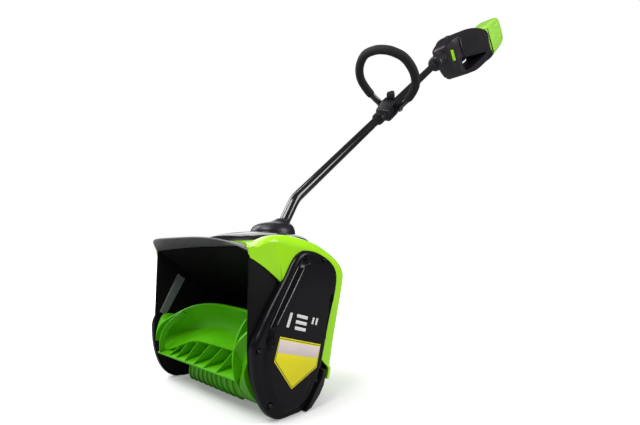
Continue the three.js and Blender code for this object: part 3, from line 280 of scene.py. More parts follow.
def grain_group():
    """Moulded grain: a fine leathery height and a soft drift of roughness, from Object coordinates."""
    group = bpy.data.node_groups.new("moulded_grain", "ShaderNodeTree")
    face = group.interface
    for label, kind, value in (("Grain Size", "NodeSocketFloat", 900.0), ("Depth", "NodeSocketFloat", 0.2),
                               ("Roughness", "NodeSocketFloat", 0.5), ("Drift", "NodeSocketFloat", 0.08)):
        socket = face.new_socket(name=label, in_out="INPUT", socket_type=kind)
        socket.default_value = value
    face.new_socket(name="Roughness", in_out="OUTPUT", socket_type="NodeSocketFloat")
    face.new_socket(name="Normal", in_out="OUTPUT", socket_type="NodeSocketVector")
    face.new_socket(name="Drift", in_out="OUTPUT", socket_type="NodeSocketFloat")
    start, end = group.nodes.new("NodeGroupInput").outputs, group.nodes.new("NodeGroupOutput")
    place = add_node(group, "TexCoord").outputs["Object"]
    fine = add_node(group, "TexVoronoi", {"Vector": place, "Scale": start["Grain Size"]}, feature="SMOOTH_F1")
    bump = add_node(group, "Bump", {"Distance": 0.0004, "Strength": start["Depth"],
                                    "Height": fine.outputs["Distance"]})
    cloud = add_node(group, "TexNoise", {"Vector": place, "Scale": 14.0, "Detail": 3.0}).outputs["Fac"]
    centred = add_node(group, "Math", {0: cloud, 1: 0.5}, operation="SUBTRACT")
    sway = add_node(group, "Math", {0: centred.outputs[0], 1: start["Drift"], 2: start["Roughness"]},
                    operation="MULTIPLY_ADD")
    fill(group, end, {"Roughness": sway.outputs[0], "Normal": bump.outputs["Normal"], "Drift": cloud})
    return group


GRAIN = grain_group()


def plastic(name, colour, roughness, depth=0.2, grain=900.0, drift=0.1, shade=0.12, coat=0.0, metallic=0.0,
            gloss=0.5):
    """A moulded plastic: its colour drifts a little, and its grain gives the roughness and normal."""
    material = bpy.data.materials.new(name)
    material.use_nodes = True
    tree = material.node_tree
    group = add_node(tree, "Group", {"Grain Size": grain, "Depth": depth, "Roughness": roughness,
                                     "Drift": drift}, node_tree=GRAIN).outputs
    ramp = add_node(tree, "ValToRGB", {"Fac": group["Drift"]})
    for stop, place, share in zip(ramp.color_ramp.elements, (0.3, 0.7), (1 - shade, 1 + shade)):
        stop.position = place
        stop.color = (*[min(c * share, 1) for c in colour], 1)
    fill(tree, tree.nodes["Principled BSDF"], {
        "Base Color": ramp.outputs["Color"], "Roughness": group["Roughness"], "Normal": group["Normal"],
        "Coat Weight": coat, "Coat Roughness": 0.06, "Metallic": metallic, "Specular IOR Level": gloss})
    return material


# ---------------------------------------------------------------------------------- scoop
# One black moulding: a curved ramp behind the rotor that throws the snow forwards, between two
# side walls. It has the fine grain of polypropylene and slightly rounded edges.
WALL_X = 155.0
WALL = 3.0
AXLE = np.array([86.0, 89.5])
CHAMBER_RADIUS = 94.0
FOLD_DEPTH = 44.0
FOLD_Z = 258.0
FOLD_RISE = 8.0
black_moulding = plastic("black_moulding", (0.007, 0.0065, 0.007), 0.5, gloss=0.12)


def fold_point(x):
    """Where the ramp's top edge lies at x: bowed to the rear and raised by 1 - |x / half width|^4."""
    bow = 1 - (np.abs(x) / WALL_X) ** 4
    return np.array([FOLD_DEPTH * bow, FOLD_Z + FOLD_RISE * bow])


def ramp_ring(x):
    """The ramp's section at x: a straight line from the fold to the chamber circle, the circle round to
    the scraper, and the same path one wall further out on the way back."""
    y, z = fold_point(x)
    reach = math.hypot(z - AXLE[1], y - AXLE[0])
    touch = math.atan2(z - AXLE[1], y - AXLE[0]) - math.acos(CHAMBER_RADIUS / reach)
    floor_turn = -math.asin((AXLE[1] - 3.3) / CHAMBER_RADIUS)
    arc = np.linspace(touch, floor_turn, 34)
    sides = []
    for out in (0.0, WALL):
        curve = AXLE + (CHAMBER_RADIUS + out) * np.column_stack([np.cos(arc), np.sin(arc)])
        curve[:, 1] = np.maximum(curve[:, 1], 3.3)
        start = np.array([y, z]) + out * np.array([math.cos(touch), math.sin(touch)])
        line = start + np.linspace(0, 1, 14)[:-1, None] * (curve[0] - start)
        sides.append(np.vstack([line, curve]))
    ring = np.vstack([sides[0], sides[1][::-1]])
    return at_x(x, ring)


spread = np.sin(np.linspace(-math.pi / 2, math.pi / 2, 49))
ramp = loft(head_space([ramp_ring(x) for x in spread * (WALL_X - 0.4)]))

crest = smooth_open([[1, 258.5], [18, 267], [40, 271], [80, 274], [140, 267], [178, 252], [206, 232],
                     [212, 210], [196, 140], [174, 70], [150, 24]], 60)
toe = smooth_open([[104, 1], [62, 1], [30, 22], [12, 52], [3, 80], [0, 112]], 24)
wall_outline = np.vstack([toe, [[0, 180], [0, 256]], crest])
walls = []
for side in (1, -1):
    low, high = sorted((side * (WALL_X - WALL), side * WALL_X))
    walls.append(loft(head_space(across_x(rounded_slab(wall_outline, low, high, 1.0, 1.0, 4)))))
piece("scoop", [ramp, *walls], black_moulding, replaces=["scoop_shell"])

# ---------------------------------------------------------------------------------- throwing lip
# A thin dark grey visor screwed along the ramp's top edge. It sweeps forwards over the mouth in a
# shallow bow and drops at both ends, where it dies into the side walls.
LIP_HALF = 153.5
LIP_THICK = 2.6
LIP_LEAD, LIP_DROP = 47, 22
LIP_BACK = [2.0, 3.4]


def lip_edge(s):
    """(y, z) of the visor's front edge at s from -1 to 1. It leads in the middle and drops at its ends."""
    return np.array([0.4 - LIP_LEAD * (1 - abs(s) ** 2.85), 281 - LIP_DROP * abs(s) ** 4.9])


def lip_ring(s):
    """The visor's section at s from -1 to 1: a straight run from the front edge to the fold, with its
    front rim rolled over in a half circle."""
    x = s * LIP_HALF
    front, back = lip_edge(s), fold_point(x) + LIP_BACK
    t = np.linspace(0, 1, 22)
    line = front + t[:, None] * (back - front)
    run = tangents(line)
    up = np.column_stack([-run[:, 1], run[:, 0]])
    half = LIP_THICK / 2
    roll = np.linspace(math.pi, 0, 9)[1:-1]
    nose = line[0] + half * (np.outer(np.cos(roll), up[0]) - np.outer(np.sin(roll), run[0]))
    ring = np.vstack([nose, line + half * up, (line - half * up)[::-1]])
    return at_x(x, ring)


lip_stations = np.sin(np.linspace(-math.pi / 2, math.pi / 2, 61))
visor = loft(head_space([lip_ring(s) for s in lip_stations]))
lip_grey = plastic("lip_grey", (0.22, 0.19, 0.235), 0.45, depth=0.12, grain=700.0)
piece("lip", [visor], lip_grey, replaces=["chute_lip"])

# ---------------------------------------------------------------------------------- side covers
# A deep glossy black moulding over the belt drive on the left, and its mirror image on the right.
# The rim is well rounded; a raised panel stands on it, with a bevelled front edge that ends in two
# pockets, and a narrow slot down its rear edge. Four screws in sunk holes hold each cover. Light beads
# along the bevel's edges are painted highlight; a dark strip over the bevel and dark inserts in the
# slot and the pockets are painted shade.
COVER_X = 157.0
RIM_X = 172.0
PANEL_X = 180.0
COVER_THICK = 2.4
SCREW_PLACES = [(7.5, 111), (30, 29), (128, 44), (150, 243)]
front_turn = np.linspace(0, 1, 13)[:-1, None]
cover_front = ((1 - front_turn) ** 3 * [0, 112] + 3 * (1 - front_turn) ** 2 * front_turn * [0, 58]
               + 3 * (1 - front_turn) * front_turn**2 * [22, 0] + front_turn**3 * [62, 0])
cover_back = [[62, 0], [82, 0], [100, 1], [117, 14], [129, 31], [140, 47], [148, 69], [156, 95],
              [161, 113], [168, 135], [174, 153], [181, 172], [187, 192], [189.5, 209], [187, 224],
              [177, 237], [160, 248], [136, 257], [115, 260], [101, 258.5], [88, 251], [77, 238],
              [66, 220], [55, 204], [40, 183], [24, 159], [13, 141], [3, 125]]
cover_edge = smooth_closed(np.vstack([cover_front, cover_back]), 420)
panel_edge = smooth_closed([[93, 228], [98, 235], [106, 240], [117, 240.5], [131, 236], [145, 228.5],
                            [157, 218], [164.5, 207], [166.5, 196], [163, 182], [157, 160], [150, 131],
                            [142, 103], [132, 72], [117, 44], [98, 25], [72, 17], [50, 26], [33, 50],
                            [26, 80], [25, 108], [30, 132], [40, 151], [56, 174], [74, 200]], 600)
SPINE = np.array([[66.0, 70.0], [128.0, 206.0]])


def nearest_on(line, points):
    """Distance from each point to an open polyline."""
    best = np.full(len(points), 1e9)
    for a, b in zip(line[:-1], line[1:]):
        along = np.clip((points - a) @ (b - a) / ((b - a) @ (b - a)), 0, 1)[:, None]
        best = np.minimum(best, np.linalg.norm(points - (a + along * (b - a)), axis=1))
    return best


def crossing(start, end, loop):
    """Where the segment from start to end crosses a closed loop of points."""
    a, b = loop, np.roll(loop, -1, 0)
    d, e = end - start, b - a
    cross = d[0] * e[:, 1] - d[1] * e[:, 0]
    cross = np.where(np.abs(cross) < 1e-9, 1e-9, cross)
    w = a - start
    t = (w[:, 0] * e[:, 1] - w[:, 1] * e[:, 0]) / cross
    u = (w[:, 0] * d[1] - w[:, 1] * d[0]) / cross
    hit = t[(t > 0) & (t < 1) & (u >= 0) & (u <= 1)]
    return start + (hit.min() if len(hit) else 0.5) * d


def ease(x, low=0.0, high=1.0):
    """3 t^2 - 2 t^3 with t from 0 to 1 as x runs from low to high."""
    t = np.clip((np.asarray(x, float) - low) / (high - low), 0, 1)
    return t * t * (3 - 2 * t)


spine_run = SPINE[1] - SPINE[0]
along = np.clip((cover_edge - SPINE[0]) @ spine_run / (spine_run @ spine_run), 0, 1)
spine_of = SPINE[0] + along[:, None] * spine_run
panel_of = np.array([crossing(p, s, panel_edge) for p, s in zip(cover_edge, spine_of)])
for _ in range(3):
    panel_of = (np.roll(panel_of, 1, 0) + 2 * panel_of + np.roll(panel_of, -1, 0)) / 4
reach = np.linalg.norm(panel_of - cover_edge, axis=1)
inward = (panel_of - cover_edge) / reach[:, None]
low_down = 1 - ease(cover_edge[:, 1], 30, 115)
bevel = (5.2 + 0.6 * reach * low_down)[:, None]


def cover_rings(thick=0.0, steps=(9, 5, 14, 8)):
    """Rings from the cover's open edge up its rounded rim (radius 8), across the rim to the bevel,
    up the bevel in an S, and over the panel towards its middle; thick draws them inwards."""
    wall, flat, rise, top = steps
    radius, low, rim, high = 8.0, COVER_X, RIM_X - thick, PANEL_X - thick
    edge = cover_edge + thick * inward
    rings = [at_level(edge, low)]
    for t in np.linspace(0, math.pi / 2, wall):
        ring = edge + radius * (1 - math.cos(t)) * inward
        rings.append(at_level(ring, rim - radius * (1 - math.sin(t))))
    start = edge + radius * inward
    foot = panel_of - bevel * inward
    foot = np.where(((foot - start) * inward).sum(1, keepdims=True) > 0.3, foot, start + 0.3 * inward)
    for t in np.linspace(0, 1, flat + 1)[1:]:
        rings.append(at_level(start + t * (foot - start), rim))
    for t in np.linspace(0, 1, rise + 1)[1:]:
        rings.append(at_level(foot + t * (panel_of - foot), rim + (high - rim) * ease(t)))
    for t in np.linspace(0, 0.88, top + 1)[1:]:
        rings.append(at_level(panel_of + t * (spine_of - panel_of), high))
    return np.array(rings)


outer_rings = cover_rings(steps=(10, 12, 16, 34))
places = outer_rings[:, :, :2].reshape(-1, 2)
lift = np.zeros(len(places))
rear_slot = np.array([[170.5, 193], [167, 181], [162, 168], [153, 138], [145.5, 108]])
lift -= 5.5 * (1 - ease(nearest_on(rear_slot, places), 1.2, 3.2))
for spot, size, depth in (((103.5, 243.0), 3.4, 7.0), ((26.5, 122.0), 3.6, 6.0)):
    lift -= depth * (1 - ease(np.linalg.norm((places - spot) * [1, 0.62], axis=1), size, size + 1.6))
dish = np.linalg.norm(places - [66, 62], axis=1)
flat_x = outer_rings[:, :, 2].ravel()
lift -= 0.7 * (1 - ease(np.abs(dish - 45), 0, 7)) * (places[:, 1] < 60) * ease(flat_x, RIM_X, PANEL_X - 1)
for y, z in SCREW_PLACES:
    hole = 1 - ease(np.hypot(places[:, 0] - y, places[:, 1] - z), 3.6, 4.6)
    lift -= 2.4 * hole * (flat_x > RIM_X - 6)
outer_rings[:, :, 2] += lift.reshape(outer_rings.shape[:2])
inner_rings = cover_rings(COVER_THICK, steps=(4, 2, 4, 2))
painted_highlight_beads, painted_shade_strips = [], []


def cover_parts(side):
    """The cover's outer skin and the plain inner skin within it, joined at the open edge. It also
    adds the painted shade strip over the bevel and the painted highlight beads to their own lists.
    """
    parts = []
    for rings in (outer_rings, inner_rings):
        points = head_space(np.stack([side * rings[..., 2], rings[..., 0], rings[..., 1]], -1))
        count = rings.shape[1]
        faces = [tuple(q) for q in grid_faces(len(rings), count, wrap=True)]
        faces.append(tuple(range((len(rings) - 1) * count, len(rings) * count)))
        parts.append((points.reshape(-1, 3), faces))
    # A dark strip over the bevel between the beads: painted shade for a groove that the skin does not carve.
    top = smooth_open([[88, 233.2], [58.6, 188.3], [29.2, 142]], 24)
    low = smooth_open([[92.4, 230.8], [63.3, 187.7], [34.8, 146]], 24)
    strip_x = [RIM_X + 0.5, PANEL_X + 0.5, PANEL_X - 0.5, RIM_X - 0.5]
    shade_strip_rings = [np.column_stack([strip_x, [a, b, b, a]]) for a, b in zip(top, low)]
    painted_shade_strips.append(loft(head_space(np.array(shade_strip_rings) * [side, 1, 1])))
    # Two raised beads along the bevel's edges, coloured lighter than the cover as a painted highlight.
    for line, level in (([[87.5, 233.5], [58, 188.5], [28.5, 141.5]], RIM_X),
                        ([[93, 230.5], [64, 187.5], [35.5, 146.5]], PANEL_X)):
        path = smooth_open(line, 40)
        way = along_normal(path)
        size = 0.85 * np.sin(np.linspace(0, math.pi, 40)).clip(0.05) ** 0.3
        t = circle(12)
        swing = np.outer(size, np.cos(t))
        bead = np.stack([level + 0.6 + np.outer(size, np.sin(t)), path[:, :1] + way[:, :1] * swing,
                         path[:, 1:] + way[:, 1:] * swing], -1)
        painted_highlight_beads.append(loft(head_space(bead * [side, 1, 1])))
    lip = np.stack([parts[0][0][: len(cover_edge)], parts[1][0][: len(cover_edge)]])
    parts.append((lip.reshape(-1, 3), [tuple(q) for q in grid_faces(2, len(cover_edge), wrap=True)]))
    return parts


cover_black = plastic("cover_black", (0.007, 0.006, 0.008), 0.25, depth=0.02, grain=500.0, drift=0.05,
                      coat=0.06, gloss=0.2)
piece("drive_cover_left", cover_parts(1), cover_black, replaces=["side_cover_left"])
piece("drive_cover_right", cover_parts(-1), cover_black, replaces=["side_cover_right"])
# Painted highlight: a light grey coated finish on the beads, standing in for light caught by the bevel's
# edges.
edge_painted_highlight = plastic("edge_painted_highlight", (0.20, 0.19, 0.21), 0.22, depth=0.05, grain=500.0, drift=0.1, shade=0.3,
                     coat=0.4)
piece("cover_painted_highlights", painted_highlight_beads, edge_painted_highlight)
# Painted shade: a near-black matt plastic for dark strips and inserts laid where the bevel, slot and pockets
# fall into shadow.
painted_shade_black = plastic("painted_shade_black", (0.003, 0.003, 0.003), 0.8, depth=0.1, grain=500.0, gloss=0.1)
skin_x = outer_rings[:, :, 2].ravel()
slot_path = smooth_open([[168.0, 190.0], [161.0, 172.0], [152.0, 140.0], [144.0, 110.0]], 30)
slot_level = [skin_x[np.argmin(np.linalg.norm(places - spot, axis=1))] + 4.2 for spot in slot_path]
# Painted shade: a dark ribbon sunk in the rear slot, and dark discs set in the two pockets.
for side in (1, -1):
    band_rings = [[[side * (level + out), y + 2.1 * across, z - 0.6 * across]
                   for out, across in ((0, -1), (0, 1), (-3, 1), (-3, -1))]
                  for level, (y, z) in zip(slot_level, slot_path)]
    painted_shade_strips.append(loft(head_space(np.array(band_rings))))
    for spot, size in (((102.5, 241.5), 4.6), ((25.5, 121.5), 4.2)):
        level = skin_x[np.argmin(np.linalg.norm(places - spot, axis=1))]
        t = circle(24)
        bulge = ((-1, 0.3), (-1, 1), (0.4, 1), (0.6, 0.85), (0.6, 0.3))
        disc = [[[side * (level + up), spot[0] + size * share * math.cos(a),
                  spot[1] + size * share * math.sin(a)] for a in t] for up, share in bulge]
        painted_shade_strips.append(loft(head_space(np.array(disc))))
piece("cover_painted_shade", painted_shade_strips, painted_shade_black)

# ---------------------------------------------------------------------------------- printed marks
# A thin yellow film label with a pale band and a dark border, and white pad-printed marks above
# it. Both lie flat on the raised panel of the left cover and lean back with it.
LEAN = math.radians(-16.2)
label_along = np.array([math.cos(LEAN), math.sin(LEAN)])
label_up = np.array([-math.sin(LEAN), math.cos(LEAN)])


def flat_slab(outline, rise):
    """A thin slab of a (y, z) outline that stands a rise above the left panel, its upper rim eased."""
    return loft(head_space(across_x(rounded_slab(outline, PANEL_X - 0.1, PANEL_X + rise, 0.0, 0.08, 3))))


label = np.array([[42.0, 127.0], [132.0, 101.0], [122.0, 68.0], [67.0, 47.0], [32.0, 94.0]])
field = inset(label, 1.5)
band_low = 21.0
left_side, right_side = field[4] - field[0], field[2] - field[1]
band = np.array([field[0], field[1], field[1] + right_side * band_low / np.linalg.norm(right_side),
                 field[0] + left_side * (band_low + 1) / np.linalg.norm(left_side)])
band = inset(band, 1.6)
mark_bars = []


def bar(centre, width, height, slant=0.0):
    """An upright bar in the label's axes about a centre."""
    corners = np.array([[-1, -1], [1, -1], [1, 1], [-1, 1]]) * [width / 2, height / 2]
    corners[:, 0] += slant * corners[:, 1]
    mark_bars.append(np.array(centre) + corners[:, :1] * label_along + corners[:, 1:] * label_up)


for mark in (((61.5, 151.0), 5.6, 23.0, 0.12), ((89.5, 152.6), 25.0, 5.2),
             ((87.0, 143.3), 25.0, 5.2), ((84.7, 134.0), 25.0, 5.2),
             ((114.5, 143.4), 4.2, 11.0, 0.12), ((123.0, 141.0), 4.2, 11.0, 0.12)):
    bar(*mark)


def film(name, colour, roughness, speck):
    """A printed film: a smooth surface whose colour drifts by a small share."""
    return plastic(name, colour, roughness, depth=0.03, grain=300.0, drift=0.12, shade=speck)


label_border = film("label_border", (0.06, 0.055, 0.02), 0.35, 0.2)
label_yellow = film("label_yellow", (0.95, 0.86, 0.012), 0.35, 0.04)
label_pale = film("label_pale", (0.86, 0.74, 0.72), 0.38, 0.06)
print_white = film("print_white", (0.86, 0.86, 0.86), 0.4, 0.04)
piece("label_back", [flat_slab(inset(label, -1.5), 0.1)], label_yellow)
piece("label_edge", [flat_slab(inset(label, 0.2), 0.15)], label_border)
piece("label_field", [flat_slab(field, 0.22)], label_yellow)
piece("label_band", [flat_slab(band, 0.3)], label_pale)
piece("size_marks", [flat_slab(b, 0.2) for b in mark_bars], print_white)

# ---------------------------------------------------------------------------------- rotor
# A glossy green moulding of two scooped paddles on the axle. The front paddle is a wide hollow with
# a thin lip; under its floor a shelf carries swept webs. The other paddle's barrel back has fine
# swept ribs. An end disc closes the right end, and a leaf beyond it clears the edge of the cut.
R = 87.0
ROTOR_END = 142.5
DISC_X = 117.0
HEEL = -20.0
lip_line = smooth_open([[-144, -18], [-143, -8], [-141, 3], [-137, 10], [-132, 16], [-124, 20.5], [-116, 24],
                        [-105, 28], [-82, 38], [-61, 46.5], [-38, 52], [-8, 55.5], [24, 56], [59, 55],
                        [90, 53.5], [120, 51]], 90)
floor_line = smooth_open([[-144, -22], [-104, -14], [-62, -3], [-34, 4], [-8, 7.4], [21, 8.4], [68, 8.4],
                          [120, 8.4]], 60)
FLOOR_R = 74.0


def polar(radius, turn):
    """(forward, up) of points at a radius and an angle in degrees up from straight ahead."""
    radius, turn = np.broadcast_arrays(np.asarray(radius, float), np.radians(turn))
    return np.stack([radius * np.cos(turn), radius * np.sin(turn)], -1)


def on_axle(x, section, flip=1):
    """(forward, up) section points at x as head-space points, turned half a turn if flip is -1."""
    x = np.broadcast_to(np.asarray(x, float), section.shape[:-1])
    return np.stack([x, AXLE[0] - flip * section[..., 0], AXLE[1] + flip * section[..., 1]], -1)


def straight(a, b, count):
    """Evenly spaced points from a to b, count in all."""
    return a + np.linspace(0, 1, count)[:, None] * (b - a)


def half_section(x, barrel):
    """Half of the rotor's section: the paddle's floor, its hollow wall (a quadratic curve), the lip,
    the back (low behind the front paddle, or the ribbed barrel), the heel and the shelf under it."""
    lip, floor = np.interp(x, *lip_line.T), np.interp(x, *floor_line.T)
    size = np.clip((lip - floor) / 47.0, 0.02, 1)
    edge = polar(FLOOR_R + (R - FLOOR_R) * (1 - size), floor)
    crease = polar(R - 52 * size, floor + 0.78 * (lip - floor))
    tip = polar(R, lip)
    behind = (crease + tip) / 2 + size * np.array([-17.0, -4.0])
    t = np.linspace(0, 1, 22)[1:, None]
    wall = (1 - t) ** 2 * crease + 2 * (1 - t) * t * behind + t**2 * tip
    rim = polar(R + 0.1, np.array([lip + 0.8, lip + 1.7]))
    turn = np.linspace(lip + 3.0, 158.0, 40)
    low = 45 + 12 * ease(x, -80, 0)
    if barrel:
        start = 161 - np.clip(-17 - x, 0, 200) * 0.69
        radius = np.where(turn < start, 84.3, 45.0)
        radius = np.minimum(radius, 84.3 + 2.4 * (1 - ease(turn - lip, 3, 8)))
    else:
        start = lip + 1 + (27 - lip) * (1 - ease(x, -141, -126))
        radius = R - (R - low) * ease(turn - start, 0, 22)
    back = polar(radius, turn)
    heel = polar((R if barrel else low) + np.array([-0.2, 0, -0.6]), np.array([158.4, 159.6, 160.4]))
    deep = polar(36.0, 168.0)
    shelf = straight(heel[-1], deep, 7)[1:]
    under = polar(FLOOR_R - 3 + (R - FLOOR_R) * (1 - size), 180 + floor - 2.0)
    return np.vstack([straight(edge, crease, 8), wall, rim, back, heel, shelf, straight(deep, under, 5)[1:]])


body_x = np.concatenate([np.linspace(-ROTOR_END, -120, 14), np.linspace(-115, DISC_X, 62)])


def both_halves(section, stations):
    """A solid through a section's two halves, plain and barrel, the second turned half a turn."""
    rings = [np.vstack([on_axle(x, section(x, False)), on_axle(x, section(x, True), -1)]) for x in stations]
    return loft(head_space(rings))


def fin(top, foot, thick):
    """A thin wall between two rows of head-space points, with its thickness along x."""
    half = np.array([thick / 2, 0, 0])
    return loft([head_space(np.array([a - half, a + half, b + half, b - half])) for a, b in zip(top, foot)])


rotor_parts = [both_halves(half_section, body_x)]
s = np.linspace(0, 1, 12)
for flip in (1, -1):
    for x_top, x_foot in ((-76, -96), (-44, -70), (-8, -38), (32, -7), (69, 26), (100, 65)):
        x = x_top + (x_foot - x_top) * s
        above = polar(FLOOR_R - 0.8, float(np.interp(x_top, *floor_line.T)) - 1.0)
        top = above + s[:, None] * (polar(R - 1.0, HEEL + 0.8) - above)
        foot = polar(38.0, -12.0) + s[:, None] * (polar(R - 3.0, HEEL + 1.0) - polar(38.0, -12.0))
        rotor_parts.append(fin(on_axle(x, top, flip), on_axle(x, foot, flip), 1.9))
barrel_ribs = ((-17, -75), (-5, -62), (9, -44), (22, -26), (35, -9), (48, 8), (61, 25), (75, 43), (91, 60),
               (108, 80))
for x_top, x_foot in barrel_ribs:
    x = x_top + (x_foot - x_top) * s * 1.15
    turn = HEEL - 1.0 - 47.0 * s
    rotor_parts.append(fin(on_axle(x, polar(R + 0.3, turn)), on_axle(x, polar(R - 8, turn)), 1.8))
band_line = [[-133, -19], [-129, -11], [-124, 1], [-117, 11], [-107, 20], [-94, 29], [-79, 39]]
band_x, band_turn = smooth_open(band_line, 26).T
for flip in (1, -1):
    rim_arc = polar(R, np.linspace(44, HEEL - 1, 40))
    disc = np.vstack([rim_arc, polar(22.0, np.linspace(HEEL, 60, 12))])
    edges = [(DISC_X - 0.2, 0.0), (DISC_X, 0.5), (DISC_X + 2.6, 0.5), (DISC_X + 2.9, 0.0)]
    rotor_parts.append(loft(head_space([on_axle(x, disc * (1 - 0.004 * (0.5 - g)), flip) for x, g in edges])))
    top = on_axle(band_x, polar(R, band_turn), flip)
    rotor_parts.append(fin(top, on_axle(band_x + 2, polar(R - 10, band_turn), flip), 2.2))


def leaf_section(x, barrel):
    """Half of the section beyond the disc: a shallower paddle whose lip rises towards the end."""
    lip = 8 + 0.8 * (x - DISC_X) + 4 * ease(x, DISC_X, DISC_X + 6)
    t = np.linspace(0, 1, 14)
    face = polar(R - 9 * (1 - t) - 12 * np.sin(math.pi * t), lip - 34 + 34 * t)
    drop = 2.7 if barrel else 34.0
    back = polar(R - drop * ease(np.linspace(0, 1, 24), 0, 0.25), np.linspace(lip + 2, 150 + lip - 12, 24))
    return np.vstack([face, back])


rotor_parts.append(both_halves(leaf_section, np.linspace(DISC_X + 2.8, ROTOR_END, 9)))
rotor_green = plastic("rotor_green", (0.088, 0.45, 0.002), 0.36, depth=0.05, grain=350.0, drift=0.08,
                      shade=0.1, gloss=0.25)
piece("auger", rotor_parts, rotor_green, body="rotor_body", replaces=["rotor"])

# ---------------------------------------------------------------------------------- shroud
# A glossy lime cover 3 thick over the ramp and motor. Its shoulders are rounded and stand a little
# above its middle, its flanks drop behind the side covers, and its front edge lies just over the lip.
SHROUD_X = 163.0
SHOULDER = 22.0
SHROUD_THICK = 3.0
HOOD_HALF = 87.0
crest_points = [[37, 282.5], [64, 286], [97, 285], [146, 275], [173, 264], [200, 250], [216, 238], [226, 223],
                [227, 203], [217, 163], [201, 107], [188, 56], [180, 27]]
crest_line = smooth_open(crest_points, 110)


def shroud_front(x):
    """(y, z) of the shroud's front edge at x, just above the lip."""
    fold_y, fold_z = fold_point(x)
    edge_y, edge_z = lip_edge(abs(x) / WALL_X)
    y = fold_y * 0.6 - 3
    low = fold_z + WALL + 0.3
    return np.array([y, low + (edge_z - low) * (fold_y + 2 - y) / (fold_y + 2 - edge_y) + LIP_THICK + 4.2])


def middle_dip(x, z):
    """How far the skin between the shoulders lies below the crest."""
    return 7 * ease(SHROUD_X - SHOULDER - abs(x), 0, 51) * ease(z, 150, 230)


def in_cover(point):
    """True inside the side cover's outline."""
    a, b = cover_edge, np.roll(cover_edge, -1, 0)
    cross = (a[:, 1] > point[1]) != (b[:, 1] > point[1])
    rise = np.where(b[:, 1] == a[:, 1], 1e-9, b[:, 1] - a[:, 1])
    at = a[:, 0] + (point[1] - a[:, 1]) / rise * (b[:, 0] - a[:, 0])
    return bool(np.sum(cross & (point[0] < at)) % 2)


seam = np.array([[-2.0, 260.5], [19.0, 242.0], [39.0, 225.0], [67.0, 201.0], [150.0, 60.0]])


def below_seam(point):
    """True under the edge where the flank meets the black side wall."""
    return point[1] < np.interp(point[0], seam[:, 0], seam[:, 1])


def over_lip(x, q, thick):
    """A point of the skin lifted or lowered so that the front edge lies just above the lip, which runs
    straight from its front edge to the fold."""
    near = min(x, LIP_HALF - 0.5)
    front, back = lip_edge(near / LIP_HALF), fold_point(near) + LIP_BACK
    lip_z = np.interp(q[0], [front[0], back[0]], [front[1], back[1]])
    hold = 1 - float(ease(q[0] - shroud_front(near)[0], 2, 36))
    return np.array([q[0], q[1] + hold * (lip_z + LIP_THICK / 2 + 3.4 - thick - q[1])])


edge_front = shroud_front(WALL_X)
flank_path = np.vstack([straight(edge_front, crest_line[0], 10)[:-1], crest_line])
flank_path[:, 1] = np.convolve(np.pad(flank_path[:, 1], 3, mode="edge"), np.ones(7) / 7, "valid")
flank_inward = along_normal(flank_path)
depths = []
for p, n in zip(flank_path, flank_inward):
    d = 14.0
    while d < 110 and not in_cover(p + (d - 4) * n) and not below_seam(p + d * n):
        d += 0.5
    depths.append(d)
depths = np.convolve(np.pad(depths, 2, mode="edge"), np.ones(5) / 5, "valid")
turn = np.linspace(0, math.pi / 2, 12)
shroud_rings = []
for k, (p, n) in enumerate(zip(flank_path, flank_inward)):
    skins = []
    flank_x = SHROUD_X - 7.0 * (1 - float(ease(k, 0, 12)))
    bend = min(6 + (SHOULDER - 6) * float(ease(k, 2, 26)), depths[k] - 0.5)
    for thick in (0.0, SHROUD_THICK):
        across = []
        for drop in np.linspace(depths[k], bend, 8)[:-1]:
            across.append((flank_x - thick, p + drop * n))
        for t in turn:
            radius = bend - thick
            across.append((flank_x - bend + radius * math.cos(t), p + (bend - radius * math.sin(t)) * n))
        for x in np.linspace(flank_x - bend, 0, 28)[1:]:
            front = shroud_front(min(x, WALL_X))
            shift = (front - edge_front) * (1 - ease(k, 0, 9)) if k < 9 else 0
            across.append((x, p + shift + (thick + middle_dip(x, p[1])) * n))
        across = [(x, q if x > flank_x - thick - 0.01 else over_lip(x, q, thick)) for x, q in across]
        half = np.array([[x, q[0], q[1]] for x, q in across])
        skins.append(np.vstack([half, half[::-1][1:] * [-1, 1, 1]]))
    shroud_rings.append(np.vstack([skins[0], skins[1][::-1]]))
lime = plastic("lime_shell", (0.42, 0.93, 0.008), 0.22, depth=0.012, grain=300.0, drift=0.05, shade=0.05,
               coat=0.3)
piece("shroud_shell", [loft(head_space(shroud_rings))], lime, replaces=["shroud"])

# ---------------------------------------------------------------------------------- hood and neck
# A piano-black hood clips onto the shroud between its shoulders, over the motor. The satin black
# neck collar grows out of it as a dome and narrows to the sleeve that grips the tube.
hood_crest = smooth_open([[56, 287.5], [66, 292], [90, 296.5], [116, 299], [150, 300.5], [200, 298.5],
                          [231, 292], [243, 281], [244, 262], [239, 240], [232, 222], [224, 196]], 70)
hood_rings = []
for x in HOOD_HALF * np.sin(np.linspace(-math.pi / 2, math.pi / 2, 57)):
    foot = (flank_path + middle_dip(x, 300) * flank_inward)[flank_path[:, 0] > 54]
    foot = foot[foot[:, 1] > 190]
    foot = smooth_open(foot[::4], 70)
    rise = max((1 - (abs(x) / HOOD_HALF) ** 3) ** 0.6, 0.03)
    ring = np.vstack([foot + (hood_crest - foot) * rise, (foot + [0, -1.0])[::-1]])
    hood_rings.append(at_x(x, ring))
hood_black = plastic("hood_black", (0.016, 0.014, 0.018), 0.09, depth=0.006, grain=200.0, drift=0.03,
                     coat=0.5)
piece("hood", [loft(head_space(hood_rings))], hood_black, replaces=["motor_hood"])

